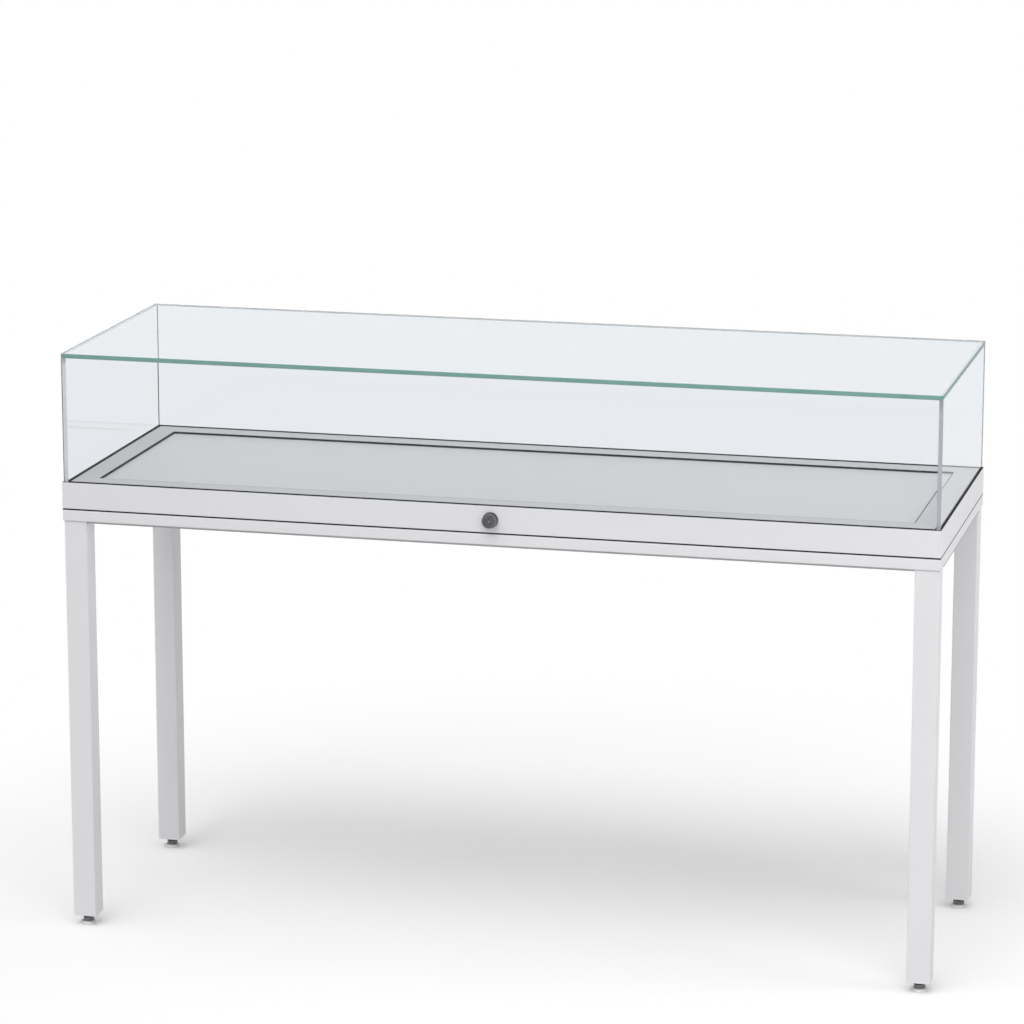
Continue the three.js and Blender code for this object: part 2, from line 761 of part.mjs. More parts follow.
// Bracket with its pin, about the pin's axis along X; the pin points towards -X.
function springBracket(foot, direction, pinEnd) {
  const plate = SPRING_EYE_THICKNESS / 2 + BRACKET_GAP;
  const [low, high] = direction > 0 ? [foot, BRACKET_EDGE] : [-BRACKET_EDGE, foot];
  const footEnd = foot + direction * BRACKET_SHEET;
  const outer = plate + BRACKET_SHEET;
  return joined(
    block([plate, -BRACKET_HALF_LENGTH, low], [outer, BRACKET_HALF_LENGTH, high]),
    block(
      [-SPRING_EYE_RADIUS, -BRACKET_HALF_LENGTH, Math.min(foot, footEnd)],
      [outer, BRACKET_HALF_LENGTH, Math.max(foot, footEnd)],
    ),
    barX(SPRING_PIN_RADIUS, pinEnd, plate + 1, SMALL_SIDES),
  );
}

for (const hand of HANDS) {
  const x = hand.x * (CASE_WIDTH / 2 - SPRING_INSET);
  const spring = new THREE.Group();
  spring.position.set(x, tablePivotY, tablePivotZ);
  spring.rotation.x = springTilt;
  table.add(spring);
  piece(spring, `gas_spring_tube_${hand.name}`, springTubeGeometry(), springPaint);
  piece(spring, `gas_spring_rod_${hand.name}`, springRodGeometry(), polishedRod);

  const throughEye = -SPRING_EYE_THICKNESS / 2 - SEAT;
  const shortOfEye = SPRING_EYE_THICKNESS / 2 + OPEN_PIVOT_GAP;
  const tableBracket = springBracket(trayBottom - tablePivotZ, 1, throughEye);
  const hoodBracket = springBracket(ledgeUnder - SEAT - hoodPivotZ, -1, shortOfEye);
  const brackets = [
    [table, "spring_bracket_table", tableBracket, tablePivotY, tablePivotZ],
    [hood, "spring_bracket_hood", hoodBracket, hoodPivotY, hoodPivotZ],
  ];
  for (const [parent, name, geometry, y, z] of brackets) {
    const mesh = piece(parent, `${name}_${hand.name}`, geometry, zincSteel);
    mesh.position.set(x, y, z);
    mesh.rotation.z = hand.x > 0 ? 0 : Math.PI;
  }
}

export default assembly;
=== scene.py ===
"""The looks of a table display case: a low glass hood on a steel table, in a plain studio.

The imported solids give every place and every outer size. Each class below models one sub-assembly
of the case round them and dresses it. Lengths are in metres, written as millimetres times MM.
"""

import json
import logging
import math
from collections.abc import Callable, Iterator, Sequence
from contextlib import contextmanager
from dataclasses import dataclass, field
from enum import Enum

import bpy
from mathutils import Matrix, Vector


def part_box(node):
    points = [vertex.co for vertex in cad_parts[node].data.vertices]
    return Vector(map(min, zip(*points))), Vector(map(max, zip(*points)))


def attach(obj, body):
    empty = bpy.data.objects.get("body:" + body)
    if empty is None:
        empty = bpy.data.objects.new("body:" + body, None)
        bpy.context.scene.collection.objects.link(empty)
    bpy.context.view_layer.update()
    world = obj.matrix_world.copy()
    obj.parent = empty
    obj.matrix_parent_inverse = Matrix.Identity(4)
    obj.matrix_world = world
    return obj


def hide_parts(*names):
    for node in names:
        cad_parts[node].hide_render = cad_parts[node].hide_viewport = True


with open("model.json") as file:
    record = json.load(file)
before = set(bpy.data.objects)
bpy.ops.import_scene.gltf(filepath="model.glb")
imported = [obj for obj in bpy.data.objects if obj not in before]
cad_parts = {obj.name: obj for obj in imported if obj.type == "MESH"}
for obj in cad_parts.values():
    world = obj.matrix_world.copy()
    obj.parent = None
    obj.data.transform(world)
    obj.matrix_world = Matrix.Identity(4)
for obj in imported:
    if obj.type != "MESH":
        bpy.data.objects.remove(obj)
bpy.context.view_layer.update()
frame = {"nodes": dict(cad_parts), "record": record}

LOG = logging.getLogger("display_case")
MM = 0.001

# Points nearer than this are one point.
TOUCHING = 0.01 * MM
# What a fitter leaves between two pieces that are screwed together.
FIT = 0.25 * MM
# How far parts of one piece run into each other, so that no gap shows between them.
OVERLAP = 0.1 * MM
# Edges that turn by more than these angles, in degrees, are sharp. The fine one is for turned
# and milled pieces, whose chamfers would be smoothed away by the other.
SHARP = 40.0
SHARP_FINE = 30.0
SHARP_FINEST = 25.0
# A face looks along an axis, or leans towards it, from these shares of its normal.
FACES_ALONG = 0.9
LEANS_TO = 0.1

ROUND_SIDES = 48
HEXAGON_SIDES = 6
RECTANGLE_SIDES = 4

CORNERS = ("front_left", "front_right", "rear_left", "rear_right")
HANDS = ("left", "right")

Triple = tuple[float, float, float]
Span = tuple[float, float]
Profile = Sequence[tuple[float, float]]
Test = Callable[[Sequence[Vector]], bool]
Socket = bpy.types.NodeSocket

# Turns that take a shape drawn up the Z axis to the front, to the back and to the right.
FORWARDS: Triple = (math.pi / 2, 0, 0)
BACKWARDS: Triple = (-math.pi / 2, 0, 0)
SIDEWAYS: Triple = (0, math.pi / 2, 0)


class Axis(Enum):
    """An axis of the case."""

    X = 0
    Y = 1
    Z = 2


class Slot(Enum):
    """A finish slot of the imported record, for a modelled piece."""

    ENAMEL = "white_enamel"
    LAMINATE = "laminate"
    GLASS = "clear_glass"
    RUBBER = "black_rubber"
    NYLON = "grey_nylon"
    ZINC = "zinc_steel"
    NICKEL = "dark_nickel"
    LACQUER = "black_lacquer"
    CHROME = "polished_steel"


# ---- Modelling ----


def deselect_all() -> None:
    """Leaves edit mode and deselects every object."""
    active = bpy.context.view_layer.objects.active
    if active is not None and active.mode != "OBJECT":
        bpy.ops.object.mode_set(mode="OBJECT")
    bpy.ops.object.select_all(action="DESELECT")


def pick(piece: bpy.types.Object) -> None:
    """Selects one piece alone and makes it the active one.

    Args:
        piece: The piece.
    """
    deselect_all()
    piece.select_set(True)
    bpy.context.view_layer.objects.active = piece


def settle(piece: bpy.types.Object) -> bpy.types.Object:
    """Moves a piece's place, turn and scale into its mesh.

    Args:
        piece: The piece, which may have been moved, turned or scaled.

    Returns:
        The same piece, with its object at the origin.
    """
    pick(piece)
    bpy.ops.object.transform_apply(location=True, rotation=True, scale=True)
    return piece


def flat_at(axis: Axis, value: float) -> Test:
    """A test for faces and edges that lie wholly in one plane.

    Args:
        axis: The axis that the plane is square to.
        value: The plane's place along it.

    Returns:
        The test.
    """
    return lambda points: all(abs(p[axis.value] - value) < TOUCHING for p in points)


def along(axis: Axis) -> Test:
    """A test for edges that run along an axis."""
    others = [other.value for other in Axis if other is not axis]
    return lambda points: all(abs(points[0][i] - points[1][i]) < TOUCHING for i in others)


@contextmanager
def editing(piece: bpy.types.Object, kind: str, chosen: Test) -> Iterator[None]:
    """Edit mode on a piece, with some of its faces or edges selected.

    Args:
        piece: The piece to edit.
        kind: FACE or EDGE.
        chosen: Accepts the corner points of a face or an edge that is wanted.

    Yields:
        Nothing. Operators called inside act on the selection.
    """
    pick(piece)
    mesh = piece.data
    parts = mesh.polygons if kind == "FACE" else mesh.edges
    for group in (mesh.vertices, mesh.edges, mesh.polygons):
        group.foreach_set("select", [False] * len(group))
    wanted = [chosen([mesh.vertices[i].co for i in part.vertices]) for part in parts]
    parts.foreach_set("select", wanted)
    bpy.context.tool_settings.mesh_select_mode = (False, kind == "EDGE", kind == "FACE")
    bpy.ops.object.mode_set(mode="EDIT")
    try:
        yield
    finally:
        bpy.ops.object.mode_set(mode="OBJECT")


def everything(points: Sequence[Vector]) -> bool:
    """Accepts every face and edge."""
    return len(points) > 0


def block(name: str, low: Sequence[float], high: Sequence[float]) -> bpy.types.Object:
    """A cuboid between two corners, to be shaped further.

    Args:
        name: The piece's name.
        low: Its lowest corner.
        high: Its highest corner.

    Returns:
        The new piece.
    """
    deselect_all()
    middle = [(a + b) / 2 for a, b in zip(low, high)]
    bpy.ops.mesh.primitive_cube_add(size=1, location=middle)
    piece = bpy.context.object
    piece.name = name
    piece.scale = [b - a for a, b in zip(low, high)]
    return settle(piece)


@dataclass(frozen=True)
class Station:
    """One loop of a lofted shape.

    Attributes:
        x: Half of its size along X.
        y: Half of its size along Y.
        z: Its height.
    """

    x: float
    y: float
    z: float


def loft(
    name: str, sides: int, stations: Sequence[Station], ring: bool = False
) -> bpy.types.Object:
    """A closed shape drawn from loop to loop, about the Z axis.

    Args:
        name: The piece's name.
        sides: Corners of each loop: 4 for a rectangle, 6 for a hexagon, more for a round piece.
        stations: The loops in order.
        ring: Whether the last loop joins the first, so that the shape is a ring with a hole.

    Returns:
        The new piece.
    """
    deselect_all()
    if sides == RECTANGLE_SIDES:
        bpy.ops.mesh.primitive_plane_add(size=2)
    else:
        bpy.ops.mesh.primitive_circle_add(vertices=sides, radius=1, fill_type="NOTHING")
    piece = bpy.context.object
    piece.name = name
    first = stations[0]
    piece.scale = (first.x, first.y, 1)
    piece.location.z = first.z
    settle(piece)
    if piece.data.polygons:
        with editing(piece, "FACE", everything):
            bpy.ops.mesh.delete(type="ONLY_FACE")
    with editing(piece, "EDGE", everything):
        following = [*stations[1:], first] if ring else stations[1:]
        last = first
        for station in following:
            rise = (0, 0, station.z - last.z)
            bpy.ops.mesh.extrude_edges_move(TRANSFORM_OT_translate={"value": rise})
            grown = (station.x / last.x, station.y / last.y, 1)
            bpy.ops.transform.resize(value=grown, center_override=(0, 0, station.z))
            last = station
        if ring:
            bpy.ops.mesh.select_all(action="SELECT")
            bpy.ops.mesh.remove_doubles(threshold=TOUCHING)
        else:
            bpy.ops.mesh.edge_face_add()
            bpy.ops.mesh.select_all(action="DESELECT")
            bpy.ops.mesh.select_non_manifold()
            bpy.ops.mesh.edge_face_add()
        bpy.ops.mesh.select_all(action="SELECT")
        bpy.ops.mesh.normals_make_consistent(inside=False)
    return piece


def turned(name: str, profile: Profile, sides: int, ring: bool = False) -> bpy.types.Object:
    """A shape turned about the Z axis.

    Args:
        name: The piece's name.
        profile: Pairs of radius and height.
        sides: Corners of each loop.
        ring: Whether the last loop joins the first, so that the shape is a tube.

    Returns:
        The new piece.
    """
    return loft(name, sides, [Station(radius, radius, z) for radius, z in profile], ring)


def shaft(name: str, radius: float, low: float, high: float, sides: int) -> bpy.types.Object:
    """A straight bar about the Z axis, round or with flats, between two heights."""
    return turned(name, [(radius, low), (radius, high)], sides)


def thread_turns(low: float, high: float, pitch: float, crest: float, root: float) -> Profile:
    """The section of a screw thread, drawn as rings.

    Args:
        low: Where the thread starts.
        high: Where it ends.
        pitch: The height of one turn.
        crest: Its outer radius.
        root: Its inner radius.

    Returns:
        Pairs of radius and height.
    """
    shares = ((root, 0.25), (crest, 0.5), (crest, 0.7))
    turns = range(round((high - low) / pitch))
    rings = [(radius, low + (turn + share) * pitch) for turn in turns for radius, share in shares]
    return rings[1:-1]


def sliced(piece: bpy.types.Object, axis: Axis, value: float) -> None:
    """Adds an edge loop where a plane crosses a piece.

    Args:
        piece: The piece.
        axis: The axis that the plane is square to.
        value: The plane's place along it.
    """
    at, normal = [0.0, 0.0, 0.0], [0.0, 0.0, 0.0]
    at[axis.value], normal[axis.value] = value, 1.0
    with editing(piece, "FACE", everything):
        bpy.ops.mesh.bisect(plane_co=at, plane_no=normal)


def pull(piece: bpy.types.Object, chosen: Test, way: Triple) -> None:
    """Extrudes the chosen faces of a piece and moves them."""
    with editing(piece, "FACE", chosen):
        bpy.ops.mesh.extrude_region_move(TRANSFORM_OT_translate={"value": way})


def folded(piece: bpy.types.Object, face: Test, edge: float, sheet: float, way: Triple) -> None:
    """Folds a flange out of an upright sheet, along its top or its bottom.

    Args:
        piece: The sheet.
        face: Accepts what lies on the side that the flange comes out of.
        edge: The height of the sheet's edge at the fold.
        sheet: The sheet's thickness, less than zero where the sheet hangs below that edge.
        way: How far the flange reaches.
    """
    sliced(piece, Axis.Z, edge + sheet)
    reach = abs(sheet) + TOUCHING
    pull(piece, lambda points: face(points) and all(abs(p.z - edge) < reach for p in points), way)


def place(
    piece: bpy.types.Object, at: Sequence[float], turn: Triple = (0, 0, 0)
) -> bpy.types.Object:
    """Turns a piece about the origin and then moves it, both within its mesh.

    Args:
        piece: The piece.
        at: Where the origin of its shape goes.
        turn: Angles about X, Y and Z.

    Returns:
        The same piece.
    """
    piece.rotation_euler = turn
    piece.location = at
    return settle(piece)


def copied(piece: bpy.types.Object, name: str, move: Matrix) -> bpy.types.Object:
    """A copy of a piece with a mesh of its own.

    Args:
        piece: The piece to copy.
        name: The copy's name.
        move: What moves the copy from the first one's place.

    Returns:
        The copy.
    """
    copy = piece.copy()
    copy.data = piece.data.copy()
    copy.name = name
    bpy.context.scene.collection.objects.link(copy)
    copy.data.transform(move)
    return copy


def repeated(piece: bpy.types.Object, name: str, move: Matrix) -> bpy.types.Object:
    """The piece itself where the name is its own, or a moved copy of it with that name."""
    return piece if piece.name == name else copied(piece, name, move)


def apply_modifier(piece: bpy.types.Object, kind: str, **settings: object) -> None:
    """Adds a modifier to a piece and applies it.

    Args:
        piece: The piece.
        kind: The modifier's type.
        **settings: The modifier's own settings.
    """
    modifier = piece.modifiers.new(kind.title(), kind)
    for key, value in settings.items():
        setattr(modifier, key, value)
    pick(piece)
    bpy.ops.object.modifier_apply(modifier=modifier.name)


def rounded(piece: bpy.types.Object, radius: float, steps: int, angle: float = SHARP) -> None:
    """Rounds a piece's sharp edges.

    Args:
        piece: The piece.
        radius: How far the rounding reaches on each face.
        steps: Faces across each rounding.
        angle: Edges that turn by more than this, in degrees, are sharp.
    """
    apply_modifier(
        piece,
        "BEVEL",
        width=radius,
        segments=steps,
        limit_method="ANGLE",
        angle_limit=math.radians(angle),
    )


def ease_edges(
    piece: bpy.types.Object, radius: float, steps: int = 3, angle: float = SHARP
) -> bpy.types.Object:
    """Rounds a piece's sharp edges and shades it so that its flat faces stay flat.

    Args:
        piece: The piece.
        radius: How far the rounding reaches on each face.
        steps: Faces across each rounding.
        angle: Edges that turn by more than this, in degrees, are sharp.

    Returns:
        The same piece.
    """
    rounded(piece, radius, steps, angle)
    return shade(piece)


def shade(piece: bpy.types.Object, angle: float = SHARP) -> bpy.types.Object:
    """Shades a piece smooth, but sharp at its sharp edges.

    Args:
        piece: The piece.
        angle: Edges that turn by more than this, in degrees, are sharp.

    Returns:
        The same piece.
    """
    pick(piece)
    bpy.ops.object.shade_smooth_by_angle(angle=math.radians(angle))
    apply_modifier(piece, "WEIGHTED_NORMAL", keep_sharp=True)
    return piece


def cut_away(piece: bpy.types.Object, cutter: bpy.types.Object) -> None:
    """Cuts a closed shape out of a piece and removes the cutter."""
    apply_modifier(piece, "BOOLEAN", operation="DIFFERENCE", solver="EXACT", object=cutter)
    bpy.data.objects.remove(cutter)


def merged(name: str, pieces: Sequence[bpy.types.Object]) -> bpy.types.Object:
    """Joins pieces that are one in the real case.

    Args:
        name: The name of the whole.
        pieces: What it is made of.

    Returns:
        The whole.
    """
    deselect_all()
    for piece in pieces:
        piece.select_set(True)
    bpy.context.view_layer.objects.active = pieces[0]
    bpy.ops.object.join()
    whole = bpy.context.object
    whole.name = name
    return whole


def hexagon(
    name: str, corner: float, low: float, high: float, chamfer: float
) -> bpy.types.Object:
    """A hexagonal prism about the Z axis with turned chamfers and two flats square to Y.

    Args:
        name: The piece's name.
        corner: Its radius at the corners.
        low: The height of its lower face.
        high: The height of its upper face.
        chamfer: The height of each chamfer.

    Returns:
        The new piece.
    """
    chamfer_inwards = 1.6 * chamfer
    burr = 0.2 * MM
    inner = corner - chamfer_inwards
    profile = [(inner, low), (corner, low + chamfer), (corner, high - chamfer), (inner, high)]
    piece = turned(name, profile, HEXAGON_SIDES)
    place(piece, (0, 0, 0), (0, 0, math.pi / HEXAGON_SIDES))
    return ease_edges(piece, burr, steps=2, angle=SHARP_FINEST)


# ---- Materials ----


def linear(colour: str) -> tuple[float, float, float, float]:
    """An sRGB hex colour as linear red, green, blue and alpha.

    Args:
        colour: Six hexadecimal digits.

    Returns:
        The four linear values.
    """
    channels = [int(colour[i : i + 2], 16) / 255 for i in (0, 2, 4)]
    values = [c / 12.92 if c <= 0.04045 else ((c + 0.055) / 1.055) ** 2.4 for c in channels]
    return (*values, 1.0)


def add_node(
    tree: bpy.types.NodeTree, kind: str, inputs: dict | None = None, **settings: object
) -> bpy.types.Node:
    """Adds a node with its settings and its inputs.

    Args:
        tree: The node tree.
        kind: The node's type.
        inputs: Values for its inputs, or the output sockets that feed them, by name or number.
        **settings: The node's own settings.

    Returns:
        The node.
    """
    node = tree.nodes.new(kind)
    for key, value in settings.items():
        setattr(node, key, value)
    for key, value in (inputs or {}).items():
        if isinstance(value, Socket):
            tree.links.new(value, node.inputs[key])
        else:
            node.inputs[key].default_value = value
    return node


def pattern(tree: bpy.types.NodeTree, size: float, **settings: float) -> dict[str, object]:
    """What a pattern node needs to lie still on a piece.

    Args:
        tree: The node tree.
        size: The size of the pattern's features in metres.
        **settings: More inputs of the pattern node.

    Returns:
        The node's inputs.
    """
    here = add_node(tree, "ShaderNodeTexCoord").outputs["Object"]
    return {"Vector": here, "Scale": 1 / size, **settings}


def mottled(
    tree: bpy.types.NodeTree, size: float, detail: float, dark: str, pale: str
) -> tuple[Socket, Socket]:
    """Two tones mixed by a noise.

    Args:
        tree: The node tree.
        size: The size of the noise's features in metres.
        detail: How many finer noises lie over it.
        dark: The darker tone.
        pale: The lighter one.

    Returns:
        The noise and the mixed tone.
    """
    noise = add_node(tree, "ShaderNodeTexNoise", pattern(tree, size, Detail=detail)).outputs["Fac"]
    tones = {"Factor": noise, 6: linear(dark), 7: linear(pale)}
    return noise, add_node(tree, "ShaderNodeMix", tones, data_type="RGBA").outputs[2]


def textured(
    tree: bpy.types.NodeTree, height: Socket, depth: float, rough: Span, **inputs: object
) -> Socket:
    """An opaque surface whose gloss and relief follow one pattern.

    Args:
        tree: The node tree.
        height: The pattern.
        depth: The depth of the relief.
        rough: The roughness where the pattern is lowest, and where it is highest.
        **inputs: More inputs of the surface, with _ in place of the spaces of their names.

    Returns:
        The shader.
    """
    low, high = rough
    gloss = add_node(tree, "ShaderNodeMapRange", {"Value": height, "To Min": low, "To Max": high})
    relief = add_node(
        tree, "ShaderNodeBump", {"Height": height, "Strength": 1.0, "Distance": depth}
    )
    base = add_node(
        tree,
        "ShaderNodeBsdfPrincipled",
        {
            "Roughness": gloss.outputs["Result"],
            "Normal": relief.outputs["Normal"],
            **{key.replace("_", " "): value for key, value in inputs.items()},
        },
    )
    return base.outputs["BSDF"]


def two_sided(tree: bpy.types.NodeTree, outside: Socket, inside: Socket) -> Socket:
    """A surface that is one thing from outside a piece and another from inside it.

    Args:
        tree: The node tree.
        outside: The shader seen from outside.
        inside: The shader seen from inside.

    Returns:
        The shader.
    """
    side = add_node(tree, "ShaderNodeNewGeometry").outputs["Backfacing"]
    return add_node(tree, "ShaderNodeMixShader", {0: side, 1: outside, 2: inside}).outputs[0]


@dataclass(frozen=True)
class Finish:
    """What every finish has: a name, and a way to make its material."""

    name: str

    def shader(self, tree: bpy.types.NodeTree) -> Socket:
        """Adds the finish's nodes and returns the shader's output socket."""
        raise NotImplementedError

    def material(self) -> bpy.types.Material:
        """The finish as a Blender material, made once.

        Returns:
            The material.
        """
        known = bpy.data.materials.get(self.name)
        if known is not None:
            return known
        made = bpy.data.materials.new(self.name)
        made.use_nodes = True
        tree = made.node_tree
        tree.nodes.clear()
        add_node(tree, "ShaderNodeOutputMaterial", {"Surface": self.shader(tree)})
        return made


@dataclass(frozen=True)
class PowderCoat(Finish):
    """Polyester powder coat, baked on steel.

    It gives an even, slightly cool white with a satin gloss and a very shallow orange peel.
    """

    name: str = "powder_coat_on_steel"
    light: str = "EAEAEC"
    shade: str = "E6E6E9"
    cloud: float = 220 * MM
    peel: float = 2.4 * MM
    peel_depth: float = 0.006 * MM
    rough: Span = (0.38, 0.46)
    ior: float = 1.5

    def shader(self, tree: bpy.types.NodeTree) -> Socket:
        """Adds a surface with clouded colour, whose gloss and relief follow the peel.

        Args:
            tree: The material's node tree.

        Returns:
            The shader.
        """
        _, tone = mottled(tree, self.cloud, 2.0, self.shade, self.light)
        peel = add_node(tree, "ShaderNodeTexNoise", pattern(tree, self.peel, Detail=1.0))
        height = peel.outputs["Fac"]
        return textured(tree, height, self.peel_depth, self.rough, Base_Color=tone, IOR=self.ior)


@dataclass(frozen=True)
class Laminate(Finish):
    """Melamine-faced board, pressed with a fine pearl texture.

    It gives a light grey with a dull sheen and a faint grain.
    """

    name: str = "melamine_faced_board"
    light: str = "DEDCDB"
    shade: str = "DBD9D8"
    speckle: float = 3.0 * MM
    pearl: float = 1.6 * MM
    pearl_depth: float = 0.012 * MM
    rough: Span = (0.42, 0.42)
    ior: float = 1.5

    def shader(self, tree: bpy.types.NodeTree) -> Socket:
        """Adds a surface with a speckled colour, and the pearl as its relief.

        Args:
            tree: The material's node tree.

        Returns:
            The shader.
        """
        _, tone = mottled(tree, self.speckle, 3.0, self.shade, self.light)
        pearl = add_node(tree, "ShaderNodeTexVoronoi", pattern(tree, self.pearl))
        height = pearl.outputs["Distance"]
        return textured(tree, height, self.pearl_depth, self.rough, Base_Color=tone, IOR=self.ior)


@dataclass(frozen=True)
class FloatGlass(Finish):
    """Clear laminated float glass, polished by its own making, with a thin coat against glare.

    It gives a view that is a little cooler and darker than what lies behind it, and the coat
    leaves only a weak mirror image.
    """

    name: str = "laminated_float_glass"
    tint: str = "F3F5F7"
    straight_tint: str = "F8F9FB"
    mirror_share: float = 0.35
    ior: float = 1.52

    def shader(self, tree: bpy.types.NodeTree) -> Socket:
        """Adds glass that bends what is seen through it and lets lamps shine straight through.

        Args:
            tree: The material's node tree.

        Returns:
            The shader.
        """
        glass = add_node(
            tree,
            "ShaderNodeBsdfPrincipled",
            {
                "Base Color": linear(self.tint),
                "Roughness": 0.0,
                "IOR": self.ior,
                "Transmission Weight": 1.0,
            },
        )
        at_each_face = (*[channel**0.5 for channel in linear(self.tint)[:3]], 1.0)
        bent = add_node(
            tree,
            "ShaderNodeBsdfRefraction",
            {"Color": at_each_face, "Roughness": 0.0, "IOR": self.ior},
        )
        mixed = add_node(
            tree,
            "ShaderNodeMixShader",
            {0: self.mirror_share, 1: bent.outputs[0], 2: glass.outputs[0]},
        )
        straight = add_node(
            tree, "ShaderNodeBsdfTransparent", {"Color": linear(self.straight_tint)}
        )
        path = add_node(tree, "ShaderNodeLightPath")
        for ray in ("Is Diffuse Ray", "Is Shadow Ray"):
            mixed = add_node(
                tree,
                "ShaderNodeMixShader",
                {0: path.outputs[ray], 1: mixed.outputs[0], 2: straight.outputs[0]},
            )
        return mixed.outputs[0]


@dataclass(frozen=True)
class PolishedEdge(FloatGlass):
    """Ground and polished edge of a glass pane.

    From outside it shows the green of the whole depth of glass behind it, in a soft streaky
    gloss. From inside the pane it is as clear as the rest.
    """

    name: str = "polished_glass_edge"
    deep: str = "5F958D"
    pale: str = "86ADA7"
    streak: float = 60 * MM
    roughness: float = 0.2
    specular: float = 0.5

    def shader(self, tree: bpy.types.NodeTree) -> Socket:
        """Adds the green seen from outside and the glass seen from inside.

        Args:
            tree: The material's node tree.

        Returns:
            The shader.
        """
        _, tone = mottled(tree, self.streak, 2.0, self.deep, self.pale)
        green = add_node(
            tree,
            "ShaderNodeBsdfPrincipled",
            {
                "Base Color": tone,
                "Roughness": self.roughness,
                "IOR": self.ior,
                "Specular IOR Level": self.specular,
            },
        )
        return two_sided(tree, green.outputs["BSDF"], super().shader(tree))


@dataclass(frozen=True)
class BondedEdge(FloatGlass):
    """Ground edge of a glass pane under clear adhesive.

    From outside it is a pale matt grey. From inside the pane it is painted dark as painted shade,
    for the light that does not come back from it, so it is a dark line.
    """

    name: str = "ground_glass_edge"
    pale: str = "CCCAD0"
    shade: str = "BCBAC1"
    # Painted shade: the colour of the edge seen from inside the pane.
    dark: str = "3C4042"
    streak: float = 40 * MM
    roughness: float = 0.6

    def shader(self, tree: bpy.types.NodeTree) -> Socket:
        """Adds the pale face seen from outside and the dark painted shade seen from inside.

        Args:
            tree: The material's node tree.

        Returns:
            The shader.
        """
        _, tone = mottled(tree, self.streak, 2.0, self.shade, self.pale)
        ground, inner = (
            add_node(
                tree,
                "ShaderNodeBsdfPrincipled",
                {"Base Color": colour, "Roughness": self.roughness, "IOR": self.ior},
            ).outputs["BSDF"]
            for colour in (tone, linear(self.dark))
        )
        return two_sided(tree, ground, inner)


@dataclass(frozen=True)
class Solid(Finish):
    """A plain opaque finish with a fine grain in its tone, gloss and surface.

    Attributes:
        light: The lighter of its two tones.
        shade: The darker one.
        rough: The roughness where the grain is lowest, and where it is highest.
        metallic: 1 for bare metal, 0 otherwise.
        grain: Size of the grain.
        grain_depth: Depth of the grain.
    """

    light: str
    shade: str
    rough: Span
    metallic: float = 0.0
    grain: float = 1 * MM
    grain_depth: float = 0.01 * MM

    def shader(self, tree: bpy.types.NodeTree) -> Socket:
        """Adds a surface whose tone, gloss and relief follow one grain.

        Args:
            tree: The material's node tree.

        Returns:
            The shader.
        """
        grain, tone = mottled(tree, self.grain, 3.0, self.shade, self.light)
        own = {"Base_Color": tone, "Metallic": self.metallic}
        return textured(tree, grain, self.grain_depth, self.rough, **own)


